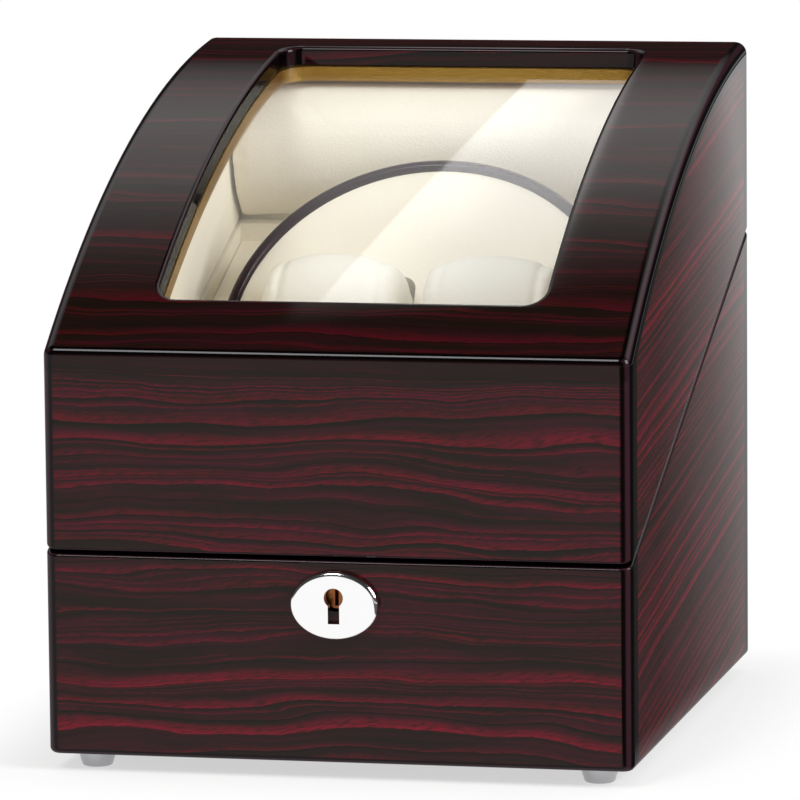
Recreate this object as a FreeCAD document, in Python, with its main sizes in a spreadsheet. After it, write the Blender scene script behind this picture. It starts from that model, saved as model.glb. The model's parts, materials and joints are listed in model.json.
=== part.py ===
import FreeCAD, Part
import math
import os
import re
import Sketcher
from FreeCAD import Vector

# Watch winder box: a lacquered case with a slanted lid seam, a curved lid with a window,
# a tilted turntable with two watch pillows and a row of three storage pillows.
# Frame: origin on the floor under the middle of the box, +X right seen from the front,
# +Y to the back, +Z up. Millimetres.

# Driving dimensions
SIZES = {
    # Case
    "case_width": 190.0,
    "case_depth": 220.0,
    "foot_height": 5.5,
    "foot_top_radius": 6.5,
    "foot_bottom_radius": 4.75,
    "foot_inset": 13.0,
    "foot_round": 0.8,
    "board": 10.0,
    "floor_board": 8.0,
    "edge_round": 4.0,
    "bottom_round": 2.0,
    "seam_front": 70.5,
    "seam_back": 153.8,
    "seam_gap": 1.0,
    "seam_round": 1.0,
    # Lid
    "lid_front_top": 135.8,
    "lid_top": 217.6,
    "lid_radius": 444.2,
    "top_board": 6.0,
    "window_side_margin": 32.0,
    "window_front_margin": 22.5,
    "window_back_margin": 19.0,
    "window_corner": 7.0,
    "window_round": 1.5,
    "pane_thick": 2.0,
    "pane_overlap": 7.0,
    "frame_deep": 4.5,
    "frame_corner": 10.0,
    "lid_lining": 3.0,
    "back_pad_foot": 1.5,
    "back_pad_head": 5.0,
    "back_pad_bulge": 17.0,
    # Linings and trays
    "lining": 4.0,
    "lining_gap": 0.4,
    "lip": 5.0,
    "lip_clearance": 1.0,
    "floor_pad": 2.0,
    "divider": 3.0,
    "tray_depth": 47.0,
    "tray_height": 44.0,
    "tray_wall": 3.0,
    "deck": 5.0,
    "deck_drop": 1.0,
    # Turntable
    "turntable_y": 18.0,
    "turntable_z": 126.5,
    "turntable_tilt": 40.0,
    "turntable_radius": 68.5,
    "rim_width": 4.0,
    "rim_proud": 2.0,
    "rim_round": 1.8,
    "disc_thick": 10.0,
    "cup_length": 46.0,
    "cup_width": 44.0,
    "cup_deep": 14.0,
    "cup_wall": 2.0,
    "cup_corner": 5.0,
    "cup_offset": 27.0,
    "pillow_length": 45.0,
    "pillow_width": 43.0,
    "pillow_crown": 32.0,
    "pillow_foot_tuck": 6.0,
    "pillow_belly_height": 20.5,
    "pillow_shoulder_tuck": 7.1,
    "pillow_shoulder_drop": 5.4,
    "pillow_end_draw": 2.2,
    "storage_pillow_height": 43.0,
    "storage_pillow_width": 40.0,
    "storage_pillow_gap": 0.6,
    "soft_gap": 0.3,
    "panel_setback": 27.0,
    "panel_thick": 6.0,
    # Drive
    "shaft_radius": 4.0,
    "run_fit": 0.05,
    "flange_radius": 12.0,
    "flange_thick": 3.0,
    "bush_wall": 3.0,
    "bush_flange": 1.5,
    "bush_flange_width": 3.0,
    "gear_module": 1.25,
    "gear_teeth": 32,
    "pinion_teeth": 12,
    "gear_backlash": 0.25,
    "gear_thick": 6.0,
    "gear_standoff": 2.0,
    "clip_thick": 1.0,
    "clip_width": 2.0,
    "output_radius": 3.0,
    "bracket_standoff": 11.0,
    "bracket_thick": 2.0,
    "bracket_half_width": 30.0,
    "bracket_half_height": 22.0,
    "post_radius": 3.5,
    "post_x": 25.0,
    "post_rise": 15.0,
    "gearbox_radius": 18.5,
    "gearbox_length": 19.0,
    "motor_radius": 16.5,
    "motor_clearance": 6.8,
    "motor_round": 2.0,
    # Lock
    "escutcheon_width": 28.7,
    "escutcheon_height": 22.0,
    "escutcheon_proud": 3.0,
    "escutcheon_round": 1.6,
    "escutcheon_z": 56.4,
    "keyhole_radius": 3.1,
    "keyhole_z": 58.9,
    "keyslot_width": 3.7,
    "keyslot_bottom": 50.6,
    "plug_radius": 4.0,
    "plug_recess": 2.0,
    "plug_slot_width": 1.2,
    "plug_slot_deep": 8.0,
    "plug_slot_below": 3.2,
    "plug_slot_above": 2.0,
    "board_hole_clearance": 0.8,
    "lock_half_width": 16.0,
    "lock_deep": 10.0,
    "lock_bottom": 46.0,
    "lock_top": 73.0,
    "tab_thick": 2.0,
    "tab_front": 4.6,
    "tab_width": 4.0,
    "tab_bottom": 64.0,
    "strike_half_width": 12.0,
    "strike_thick": 1.5,
    "strike_height": 14.0,
    "strike_lift": 8.0,
    "bolt_rise": 1.8,
    "bolt_height": 3.6,
    "bolt_depth": 2.0,
    "bolt_length": 10.0,
    "bolt_travel": 5.0,
    "bolt_fit": 0.3,
    # Rear controls
    "control_width": 64.0,
    "control_height": 30.0,
    "control_z": 45.0,
    "control_deep": 13.0,
    "control_wall": 1.6,
    "control_flange": 1.5,
    "control_rim": 3.0,
    "control_fit": 0.3,
    "knob_radius": 8.0,
    "knob_height": 9.0,
    "knob_x": 19.0,
    "knob_lift": 0.4,
    "knob_round": 0.8,
    "pointer_width": 0.8,
    "pointer_deep": 0.4,
    "pointer_start": 2.7,
    "spindle_radius": 2.5,
    "switch_half_width": 7.0,
    "switch_deep": 8.0,
    "jack_half_width": 5.5,
    "jack_bore_radius": 3.0,
    "jack_pin_radius": 1.05,
    "jack_bore_deep": 9.0,
    "circuit_board_thick": 1.6,
    # Hinges and screws
    "hinge_x": 55.0,
    "hinge_length": 30.0,
    "leaf_height": 15.0,
    "leaf_thick": 1.2,
    "leaf_clear": 2.2,
    "knuckle_radius": 1.5,
    "knuckle_gap": 0.3,
    "pin_radius": 0.8,
    "screw_radius": 1.2,
    "screw_head_radius": 2.2,
    "screw_head": 0.8,
    "screw_length": 8.0,
}

DOC = FreeCAD.newDocument("watch_winder_box")
SHEET = DOC.addObject("Spreadsheet::Sheet", "dims")
for row, (alias, size) in enumerate(SIZES.items(), start=1):
    SHEET.set(f"A{row}", alias)
    SHEET.set(f"B{row}", str(size))
    SHEET.setAlias(f"B{row}", alias)
DOC.recompute()

ALIAS = re.compile(r"\b(" + "|".join(sorted(SIZES, key=len, reverse=True)) + r")\b")
NODES = {}

# Two places nearer than this, in millimetres, count as one
CLOSE = 1e-3


# Helpers that tie sizes and places to the sheet

def cell(expression):
    """The expression with each size named as a cell of the sheet."""
    return ALIAS.sub(r"dims.\1", expression)


def value(expression):
    """The number that an expression of sizes has now."""
    return float(SHEET.evalExpression(cell(expression)))


def bind(item, **expressions):
    for name, expression in expressions.items():
        item.setExpression(name, cell(expression))
    return item


def place(item, x="0", y="0", z="0", turn="rotation(vector(1; 0; 0); 0)"):
    item.setExpression("Placement", cell(f"placement(vector({x}; {y}; {z}); {turn})"))
    return item


def node(label, item):
    """Name a finished sub-part, which is written to a file of that name."""
    item.Label = label
    NODES[label] = item
    return item


def span(ends):
    return f"({ends[1]}) - ({ends[0]})"


def box(name, x, y, z):
    """A block between pairs of expressions along X, Y and Z."""
    item = DOC.addObject("Part::Box", name)
    bind(item, Length=span(x), Width=span(y), Height=span(z))
    return place(item, x[0], y[0], z[0])


def rod(name, radius, length, x="0", y="0", z="0", turn="rotation(vector(1; 0; 0); 0)"):
    item = DOC.addObject("Part::Cylinder", name)
    bind(item, Radius=radius, Height=length)
    return place(item, x, y, z, turn)


def cut(name, base, tool):
    item = DOC.addObject("Part::Cut", name)
    item.Base = base
    item.Tool = tool
    return item


def cut_all(name, base, tools):
    for count, tool in enumerate(tools):
        base = cut(f"{name}_cut_{count}", base, tool)
    return base


def common(name, base, tool):
    item = DOC.addObject("Part::Common", name)
    item.Base = base
    item.Tool = tool
    return item


def fuse(name, shapes):
    item = DOC.addObject("Part::MultiFuse", name)
    item.Shapes = shapes
    item.Refine = True
    return item


def group(name, items):
    item = DOC.addObject("Part::Compound", name)
    item.Links = items
    return item


def round_each(name, base, radius_of):
    """Round each edge of a base by the radius that a rule names for it, if it names one."""
    DOC.recompute()
    named = [(count, radius_of(edge)) for count, edge in enumerate(base.Shape.Edges, start=1)]
    item = DOC.addObject("Part::Fillet", name)
    item.Base = base
    item.Edges = [(count, value(radius), value(radius)) for count, radius in named if radius]
    return item


def round_edges(name, base, radius, chosen):
    """Round the edges of a base that the test picks."""
    return round_each(name, base, lambda edge: radius if chosen(edge) else None)


def origin_plane(body, role):
    return next(plane for plane in body.Origin.OriginFeatures if plane.Role == role)


def profile(name, points, x, arcs=None):
    """A body padded along X from an outline in Y and Z.

    Points are pairs of expressions; arcs maps the number of a point to the expressions of
    a middle point, where the stretch after that point is an arc instead of a line.
    """
    arcs = arcs or {}
    body = DOC.addObject("PartDesign::Body", name)
    sketch = body.newObject("Sketcher::SketchObject", f"{name}_outline")
    sketch.AttachmentSupport = [(origin_plane(body, "YZ_Plane"), "")]
    sketch.MapMode = "FlatFace"
    corners = [Vector(value(y), value(z), 0) for y, z in points]
    count = len(corners)
    for index, start in enumerate(corners):
        end = corners[(index + 1) % count]
        if index in arcs:
            middle = Vector(value(arcs[index][0]), value(arcs[index][1]), 0)
            sketch.addGeometry(Part.Arc(start, middle, end))
        else:
            sketch.addGeometry(Part.LineSegment(start, end))
    for index in range(count):
        following = (index + 1) % count
        this_end = end_point(sketch.Geometry[index], corners[following])
        next_start = end_point(sketch.Geometry[following], corners[following])
        sketch.addConstraint(Sketcher.Constraint("Coincident", index, this_end, following, next_start))
    for index, (y, z) in enumerate(points):
        tie_point(sketch, index, end_point(sketch.Geometry[index], corners[index]), y, z)
    for index, (y, z) in arcs.items():
        middle = sketch.addGeometry(Part.Point(Vector(value(y), value(z), 0)), True)
        sketch.addConstraint(Sketcher.Constraint("PointOnObject", middle, 1, index))
        tie_point(sketch, middle, 1, y, z)
    pad = body.newObject("PartDesign::Pad", f"{name}_pad")
    pad.Profile = sketch
    bind(pad, Length=span(x))
    return place(body, x=x[0])


def tie_point(sketch, curve, end, y, z):
    """Tie a point of a sketch to a place, which is a pair of expressions."""
    for kind, expression in (("DistanceX", y), ("DistanceY", z)):
        rule = sketch.addConstraint(Sketcher.Constraint(kind, -1, 1, curve, end, value(expression)))
        sketch.setExpression(f"Constraints[{rule}]", cell(expression))


def end_point(curve, corner):
    """Which end of a sketch curve lies on a corner: 1 is its start and 2 its end."""
    return 1 if curve.StartPoint.distanceToPoint(corner) < CLOSE else 2


# Heights and places that several pieces share
HALF_WIDTH = "(case_width / 2)"
HALF_DEPTH = "(case_depth / 2)"
INNER_X = "(case_width / 2 - board)"
INNER_Y = "(case_depth / 2 - board)"
LINED_X = "(case_width / 2 - board - lining_gap - lining)"
LINED_Y = "(case_depth / 2 - board - lining_gap - lining)"
FLOOR_TOP = "(foot_height + floor_board)"
BAY = f"((2 * {LINED_X} - 2 * divider) / 3)"
SEAM_SLOPE = "((seam_back - seam_front) / case_depth)"


def seam_at(y, lift="0"):
    """Height of the slanted lid seam at a depth, plus a lift."""
    return f"(seam_front + {SEAM_SLOPE} * (({y}) + case_depth / 2) + ({lift}))"


# The lid's curved top is one arc from its front edge to its back edge
LID_RISE = "(lid_top - lid_front_top)"
LID_CHORD = f"sqrt(case_depth ^ 2 + {LID_RISE} ^ 2)"
LID_SAG = f"sqrt(lid_radius ^ 2 - {LID_CHORD} ^ 2 / 4)"
ARC_Y = f"({LID_RISE} / {LID_CHORD} * {LID_SAG})"
ARC_Z = f"((lid_top + lid_front_top) / 2 - case_depth / {LID_CHORD} * {LID_SAG})"
ALONG_X = "rotation(vector(0; 1; 0); 90)"
ALONG_BACK = "rotation(vector(1; 0; 0); -90)"
FACING_FRONT = "rotation(vector(1; 0; 0); 90)"


def lid_height_at(y, depth):
    """Height of the arc that lies a depth under the lid's curved top."""
    return f"({ARC_Z} + sqrt((lid_radius - ({depth})) ^ 2 - ({ARC_Y} - ({y})) ^ 2))"


def lid_drum(name, depth):
    """A drum across the box whose surface lies a depth under the lid's curved top."""
    return rod(name, f"lid_radius - ({depth})", "case_width * 2", "-case_width", ARC_Y, ARC_Z, ALONG_X)


# The turntable's own frame: up along its face, out from its face
TURN = "rotation(vector(1; 0; 0); 90 - turntable_tilt)"
THROUGH = ("-case_depth", "0")


def tilted_y(up, out):
    return f"(turntable_y + ({up}) * sin(turntable_tilt) - ({out}) * cos(turntable_tilt))"


def tilted_z(up, out):
    return f"(turntable_z + ({up}) * cos(turntable_tilt) + ({out}) * sin(turntable_tilt))"


def tilted_rod(name, radius, out_from, out_to, x="0", up="0"):
    """A round piece along the turntable's axis, between two distances out from its face."""
    length = f"({out_to}) - ({out_from})"
    return rod(name, radius, length, x, tilted_y(up, out_from), tilted_z(up, out_from), TURN)


def tilted_box(name, x, up, out):
    item = DOC.addObject("Part::Box", name)
    bind(item, Length=span(x), Width=span(up), Height=span(out))
    return place(item, x[0], tilted_y(up[0], out[0]), tilted_z(up[0], out[0]), TURN)


def up_at_height(out, height):
    """How far up the turntable's face a height lies, at a distance out from it."""
    return f"((({height}) - {tilted_z('0', out)}) / cos(turntable_tilt))"


def up_at_seam(out, lift):
    """How far up the turntable's face the lifted seam lies, at a distance out from it."""
    rise = f"({seam_at(tilted_y('0', out), lift)} - {tilted_z('0', out)})"
    return f"({rise} / (cos(turntable_tilt) - {SEAM_SLOPE} * sin(turntable_tilt)))"


# Case: one rounded form, parted at the seam, then sawn into boards
def case_halves():
    outline = [
        (f"-{HALF_DEPTH}", "foot_height"),
        (HALF_DEPTH, "foot_height"),
        (HALF_DEPTH, "lid_top"),
        (f"-{HALF_DEPTH}", "lid_front_top"),
    ]
    crown = ("0", lid_height_at("0", "0"))
    form = profile("case_form", outline, (f"-{HALF_WIDTH}", HALF_WIDTH), {2: crown})
    form = round_each("case_rounding", form, case_radius)
    reach = "case_depth"
    beyond = ("-case_width", "case_width")
    low = [
        (f"-{reach}", "-case_depth"),
        (reach, "-case_depth"),
        (reach, seam_at(reach, "-seam_gap / 2")),
        (f"-{reach}", seam_at(f"-{reach}", "-seam_gap / 2")),
    ]
    high = [
        (f"-{reach}", seam_at(f"-{reach}", "seam_gap / 2")),
        (reach, seam_at(reach, "seam_gap / 2")),
        (reach, "lid_top + case_depth"),
        (f"-{reach}", "lid_top + case_depth"),
    ]
    base_form = common("base_form", form, profile("below_seam", low, beyond))
    lid_form = common("lid_form", form, profile("above_seam", high, beyond))
    base_form = round_edges("base_form_rounded", base_form, "seam_round", on_seam("-seam_gap / 2"))
    lid_form = round_edges("lid_form_rounded", lid_form, "seam_round", on_seam("seam_gap / 2"))
    return base_form, lid_form


def case_radius(edge):
    """Edges of the case's underside are eased less than the others."""
    low = all(abs(vertex.Point.z - value("foot_height")) < CLOSE for vertex in edge.Vertexes)
    return "bottom_round" if low else "edge_round"


def on_seam(lift):
    """A test for edges that lie in the seam plane with that lift."""
    slope = value(SEAM_SLOPE)
    height = value(seam_at("0", lift))

    def test(edge):
        return all(abs(corner.Z - height - slope * corner.Y) < CLOSE for corner in edge.Vertexes)
    return test


def case_boards(base_form, lid_form):
    """Boards of the base and the lid: front, back and two sides of each."""
    drum = lid_drum("under_top_board", "top_board")
    lid_walls = common("lid_walls", lid_form, drum)
    all_x = ("-case_width", "case_width")
    all_z = ("-case_depth", "lid_top * 2")
    ranges = {
        "front_board": (all_x, ("-case_depth", f"-{INNER_Y}")),
        "back_board": (all_x, (INNER_Y, "case_depth")),
        "left_board": (("-case_width", f"-{INNER_X}"), (f"-{INNER_Y}", INNER_Y)),
        "right_board": ((INNER_X, "case_width"), (f"-{INNER_Y}", INNER_Y)),
    }
    boards = {}
    for half, form in (("base", base_form), ("lid", lid_walls)):
        for name, (x, y) in ranges.items():
            block = box(f"{half}_{name}_block", x, y, all_z)
            boards[f"{half}_{name}"] = common(f"{half}_{name}_sawn", form, block)
    boards["base_front_board"] = cut("base_front_bored", boards["base_front_board"], key_passage())
    boards["base_back_board"] = cut("base_back_bored", boards["base_back_board"], control_opening())
    for label, board in boards.items():
        node(label, board)
    floor_x = (f"-{INNER_X}", INNER_X)
    floor_y = (f"-{INNER_Y}", INNER_Y)
    node("base_floor_board", box("floor_block", floor_x, floor_y, ("foot_height", FLOOR_TOP)))
    lid_top(cut("lid_top_sawn", lid_form, drum))


def key_passage():
    radius = "plug_radius + board_hole_clearance"
    return rod("key_passage", radius, "board * 2", "0", f"-{HALF_DEPTH} - board / 2", "keyhole_z", ALONG_BACK)


def control_opening():
    """The block through the back board that the control cup fits into."""
    y = (f"{INNER_Y} - board", f"{HALF_DEPTH} + board")
    z = about_control("control_height / 2")
    return box("control_opening", ("-control_width / 2", "control_width / 2"), y, z)


WINDOW_X = f"({HALF_WIDTH} - window_side_margin)"
WINDOW_FRONT = f"(-{HALF_DEPTH} + window_front_margin)"
WINDOW_BACK = f"({HALF_DEPTH} - window_back_margin)"


def window_block(name, grow, corner):
    """An upright block with rounded corners, as wide as the window and grown all round."""
    block = box(
        f"{name}_block",
        (f"-{WINDOW_X} - ({grow})", f"{WINDOW_X} + ({grow})"),
        (f"{WINDOW_FRONT} - ({grow})", f"{WINDOW_BACK} + ({grow})"),
        ("seam_front", "lid_top + board"),
    )
    return round_edges(name, block, corner, is_upright)


def is_upright(edge):
    start, end = (vertex.Point for vertex in edge.Vertexes)
    return abs(start.x - end.x) < CLOSE and abs(start.y - end.y) < CLOSE


def arched_layer(name, depth_from, depth_to, block):
    """The part of a block between two depths under the lid's curved top."""
    outer = lid_drum(f"{name}_outer", depth_from)
    inner = lid_drum(f"{name}_inner", depth_to)
    return cut(name, common(f"{name}_under", block, outer), inner)


def lid_top(panel):
    """Curved top board with its window, and the pane, frame and lining under it."""
    opening = window_block("window_opening", "0", "window_corner")
    panel = cut("lid_top_windowed", panel, opening)
    node("lid_top_board", round_edges("lid_top_eased", panel, "window_round", on_window_rim))
    under_pane = "top_board + pane_thick"
    pane_block = window_block("pane_block", "pane_overlap", "window_corner")
    node("window_pane", arched_layer("pane_layer", "top_board", under_pane, pane_block))
    frame_block = window_block("frame_block", "pane_overlap", "window_corner")
    frame = arched_layer("frame_layer", under_pane, f"{under_pane} + frame_deep", frame_block)
    frame_opening = window_block("frame_opening", "0", "frame_corner")
    node("window_frame", cut("window_frame_cut", frame, frame_opening))
    lined = f"({INNER_X} - lining_gap)"
    lined_depth = f"({INNER_Y} - lining_gap)"
    deep = (f"-{lined_depth}", lined_depth)
    sheet = box("lid_top_sheet", (f"-{lined}", lined), deep, ("seam_front", "lid_top"))
    sheet = arched_layer("lid_top_layer", "top_board", under_pane, sheet)
    hole = window_block("lid_top_sheet_hole", "pane_overlap + lining_gap", "window_corner")
    node("lid_top_lining", cut("lid_top_lining_cut", sheet, hole))


def on_window_rim(edge):
    """Whether an edge of the top board runs round the window on its outer face."""
    radius = value("lid_radius")
    centre = (value(ARC_Y), value(ARC_Z))
    half = value(WINDOW_X)
    front = value(WINDOW_FRONT)
    back = value(WINDOW_BACK)

    def on_rim(point):
        outer = abs(math.hypot(point.y - centre[0], point.z - centre[1]) - radius) < CLOSE
        return outer and abs(point.x) < half + CLOSE and front - CLOSE < point.y < back + CLOSE
    return all(on_rim(vertex.Point) for vertex in edge.Vertexes)


# Linings of the lid: flat sheets on its boards and a bowed pad at its back
def lid_linings():
    low = "lip + lip_clearance"
    depth = "top_board + pane_thick + lining_gap"
    roof = lid_drum("lining_roof", depth)
    glued = f"({INNER_Y} - lining_gap)"
    front_face = f"({INNER_Y} - lining_gap - lid_lining)"
    tall = "lid_top"
    pad_front = f"({INNER_Y} - back_pad_bulge)"
    side = [
        (f"-{front_face} + lining_gap", seam_at(f"-{front_face} + lining_gap", low)),
        (glued, seam_at(glued, low)),
        (glued, tall),
        (f"-{front_face} + lining_gap", tall),
    ]
    outer = f"({INNER_X} - lining_gap)"
    inner = f"({INNER_X} - lining_gap - lid_lining)"
    for label, x in (("lid_left_lining", (f"-{outer}", f"-{inner}")), ("lid_right_lining", (inner, outer))):
        node(label, common(f"{label}_trimmed", profile(f"{label}_sheet", side, x), roof))
    front = [
        (f"-{glued}", seam_at(f"-{glued}", low)),
        (f"-{front_face}", seam_at(f"-{front_face}", low)),
        (f"-{front_face}", tall),
        (f"-{glued}", tall),
    ]
    sheet = common("lid_front_trimmed", profile("lid_front_sheet", front, (f"-{outer}", outer)), roof)
    half = "strike_half_width + lining_gap"
    notch = box(
        "strike_notch",
        (f"-({half})", half),
        (f"-{INNER_Y} - board / 2", f"-{INNER_Y} + board"),
        ("seam_front", f"{STRIKE_LOW} + strike_height + lining_gap"),
    )
    node("lid_front_lining", cut("lid_front_notched", sheet, notch))
    back_pad(glued, pad_front, inner, low, "top_board + pane_thick + frame_deep + lining_gap")


def back_pad(glued, pad_front, inner, low, depth):
    """Pad on the lid's back board: one bow between a thin foot and a thin head."""
    foot = f"({glued} - back_pad_foot)"
    head = f"({glued} - back_pad_head)"
    foot_z = seam_at(foot, low)
    head_z = lid_height_at(head, f"{depth} + soft_gap")
    top_z = lid_height_at(glued, f"{depth} + soft_gap")
    middle_z = f"(({foot_z} + {head_z}) / 2)"
    outline = [(foot, foot_z), (glued, foot_z), (glued, top_z), (head, head_z)]
    sides = (f"-{inner} + soft_gap", f"{inner} - soft_gap")
    node("lid_back_pad", profile("back_pad_body", outline, sides, {3: (pad_front, middle_z)}))


# Linings of the base, with a lip that stands above the seam
def base_linings():
    glued_x = f"({INNER_X} - lining_gap)"
    glued_y = f"({INNER_Y} - lining_gap)"
    side = [
        (f"-{LINED_Y}", FLOOR_TOP),
        (LINED_Y, FLOOR_TOP),
        (LINED_Y, seam_at(LINED_Y, "lip")),
        (f"-{LINED_Y}", seam_at(f"-{LINED_Y}", "lip")),
    ]
    node("base_left_lining", profile("left_lining_sheet", side, (f"-{glued_x}", f"-{LINED_X}")))
    node("base_right_lining", profile("right_lining_sheet", side, (LINED_X, glued_x)))
    front = [
        (f"-{glued_y}", FLOOR_TOP),
        (f"-{LINED_Y}", FLOOR_TOP),
        (f"-{LINED_Y}", seam_at(f"-{LINED_Y}", "lip")),
        (f"-{glued_y}", seam_at(f"-{glued_y}", "lip")),
    ]
    sheet = profile("front_lining_sheet", front, (f"-{glued_x}", glued_x))
    half = "lock_half_width + lining_gap"
    notch = box(
        "lock_notch",
        (f"-({half})", half),
        (f"-{INNER_Y} - board", f"-{INNER_Y} + board"),
        ("lock_bottom - lining_gap", "lid_top"),
    )
    node("base_front_lining", cut("front_lining_notched", sheet, notch))
    under_deck = "-deck_drop - deck"
    clear_y = f"({INNER_Y} - lip_clearance)"
    back = [
        (LINED_Y, seam_at(LINED_Y, under_deck)),
        (clear_y, seam_at(clear_y, under_deck)),
        (clear_y, seam_at(clear_y, "lip")),
        (LINED_Y, seam_at(LINED_Y, "lip")),
    ]
    node("base_back_lining", profile("back_lining_sheet", back, (f"-{glued_x}", glued_x)))


# Storage tray in front, the slanted turntable panel and the cover over the motor bay
PAD_TOP = f"({FLOOR_TOP} + floor_pad)"
TRAY_BACK = f"(-{LINED_Y} + tray_depth)"
TRAY_TOP = f"({PAD_TOP} + tray_height)"
FITTED_X = f"({LINED_X} - soft_gap)"
PANEL_FRONT = "-panel_setback"
PANEL_BACK = "(-panel_setback - panel_thick)"
COVER_UNDER = "-deck_drop - deck"


def tray_and_panel():
    across = (f"-{FITTED_X}", FITTED_X)
    tray_y = (f"-{LINED_Y}", TRAY_BACK)
    node("floor_pad", box("floor_pad_block", across, tray_y, (FLOOR_TOP, PAD_TOP)))
    dividers = []
    for side in ("-1", "1"):
        middle = f"({side} * ({BAY} + divider) / 2)"
        x = (f"{middle} - divider / 2", f"{middle} + divider / 2")
        dividers.append(box("divider_block", x, tray_y, (PAD_TOP, TRAY_TOP)))
    node("storage_dividers", group("divider_group", dividers))
    wall_back = f"({TRAY_BACK} + tray_wall)"
    node("tray_back_wall", box("tray_wall_block", across, (TRAY_BACK, wall_back), (FLOOR_TOP, TRAY_TOP)))
    shelf_low = f"({TRAY_TOP} - tray_wall)"
    shelf = [
        (wall_back, shelf_low),
        (tilted_y(up_at_height(PANEL_FRONT, shelf_low), PANEL_FRONT), shelf_low),
        (tilted_y(up_at_height(PANEL_FRONT, TRAY_TOP), PANEL_FRONT), TRAY_TOP),
        (wall_back, TRAY_TOP),
    ]
    node("tray_shelf", profile("tray_shelf_board", shelf, across))
    foot_front = up_at_height(PANEL_FRONT, FLOOR_TOP)
    foot_back = up_at_height(PANEL_BACK, FLOOR_TOP)
    head_front = up_at_seam(PANEL_FRONT, COVER_UNDER)
    head_back = up_at_seam(PANEL_BACK, COVER_UNDER)
    corners = (
        (foot_front, PANEL_FRONT),
        (foot_back, PANEL_BACK),
        (head_back, PANEL_BACK),
        (head_front, PANEL_FRONT),
    )
    panel = profile("panel_board", [(tilted_y(*corner), tilted_z(*corner)) for corner in corners], across)
    node("turntable_panel", cut("panel_bored", panel, tilted_rod("bush_hole", BUSH_RADIUS, *THROUGH)))
    front_y = tilted_y(head_front, PANEL_FRONT)
    cover = [
        (front_y, seam_at(front_y, COVER_UNDER)),
        (LINED_Y, seam_at(LINED_Y, COVER_UNDER)),
        (LINED_Y, seam_at(LINED_Y, "-deck_drop")),
        (front_y, seam_at(front_y, "-deck_drop")),
    ]
    node("motor_bay_cover", profile("bay_cover_board", cover, across))


# Pillows: a crowned roll with a flat foot, drawn in at its ends
def pillow_shape(length, width, height):
    """Loft along X through three sections, the outer two drawn in."""
    draw = 2 * value("pillow_end_draw")
    ends = (width - draw, height - draw)
    places = ((-length / 2, ends), (0.0, (width, height)), (length / 2, ends))
    return Part.makeLoft([pillow_section(x, *size) for x, size in places], True, False)


def pillow_section(x, width, height):
    """A closed section: flat foot, two bulging sides and a crown."""
    belly = width / 2
    belly_z = value("pillow_belly_height")
    foot = belly - value("pillow_foot_tuck")
    shoulder = belly - value("pillow_shoulder_tuck")
    shoulder_z = height - value("pillow_shoulder_drop")
    points = {
        "foot_left": Vector(x, -foot, 0),
        "foot_right": Vector(x, foot, 0),
        "belly_right": Vector(x, belly, belly_z),
        "shoulder_right": Vector(x, shoulder, shoulder_z),
        "crown": Vector(x, 0, height),
        "shoulder_left": Vector(x, -shoulder, shoulder_z),
        "belly_left": Vector(x, -belly, belly_z),
    }
    edges = [
        Part.LineSegment(points["foot_left"], points["foot_right"]).toShape(),
        Part.Arc(points["foot_right"], points["belly_right"], points["shoulder_right"]).toShape(),
        Part.Arc(points["shoulder_right"], points["crown"], points["shoulder_left"]).toShape(),
        Part.Arc(points["shoulder_left"], points["belly_left"], points["foot_left"]).toShape(),
    ]
    return Part.Wire(edges)


def pillows():
    length = value("pillow_length")
    width = value("pillow_width")
    turntable_height = value("cup_deep - soft_gap + pillow_crown")
    for label, side in (("pillow_left", "-1"), ("pillow_right", "1")):
        item = DOC.addObject("Part::Feature", f"{label}_form")
        item.Shape = pillow_shape(length, width, turntable_height)
        sunk = "-cup_deep + soft_gap"
        place(item, f"{side} * cup_offset", tilted_y("0", sunk), tilted_z("0", sunk), TURN)
        node(label, item)
    storage_height = value("storage_pillow_height")
    storage_width = value("storage_pillow_width")
    for side_name, side in (("left", "-1"), ("middle", "0"), ("right", "1")):
        label = f"storage_pillow_{side_name}"
        item = DOC.addObject("Part::Feature", f"{label}_form")
        item.Shape = pillow_shape(length, storage_width, storage_height)
        middle_y = f"({TRAY_BACK} - storage_pillow_gap - storage_pillow_width / 2)"
        place(item, f"{side} * ({BAY} + divider)", middle_y, f"{PAD_TOP} + soft_gap")
        node(label, item)


# Turntable: cream disc with two cups, ebony rim, shaft and drive gear
CUP_BACK = "(-cup_deep - cup_wall)"
FLANGE_BACK = f"({CUP_BACK} - flange_thick)"
BUSH_RADIUS = "(shaft_radius + run_fit + bush_wall)"
GEAR_FRONT = f"({PANEL_BACK} - gear_standoff)"
GEAR_BACK = f"({GEAR_FRONT} - gear_thick)"
SHAFT_END = f"({GEAR_BACK} - clip_thick * 2)"
GEAR_PITCH = "(gear_module * gear_teeth / 2)"
PINION_PITCH = "(gear_module * pinion_teeth / 2)"
PINION_UP = f"(-{GEAR_PITCH} - {PINION_PITCH})"
CONTROLS_FRONT = f"({HALF_DEPTH} - control_deep - switch_deep - circuit_board_thick)"
MOTOR_TOP = f"({PINION_UP} + motor_radius)"
MOTOR_BACK = f"(({tilted_y(MOTOR_TOP, '0')} + motor_clearance - {CONTROLS_FRONT}) / cos(turntable_tilt))"


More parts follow.
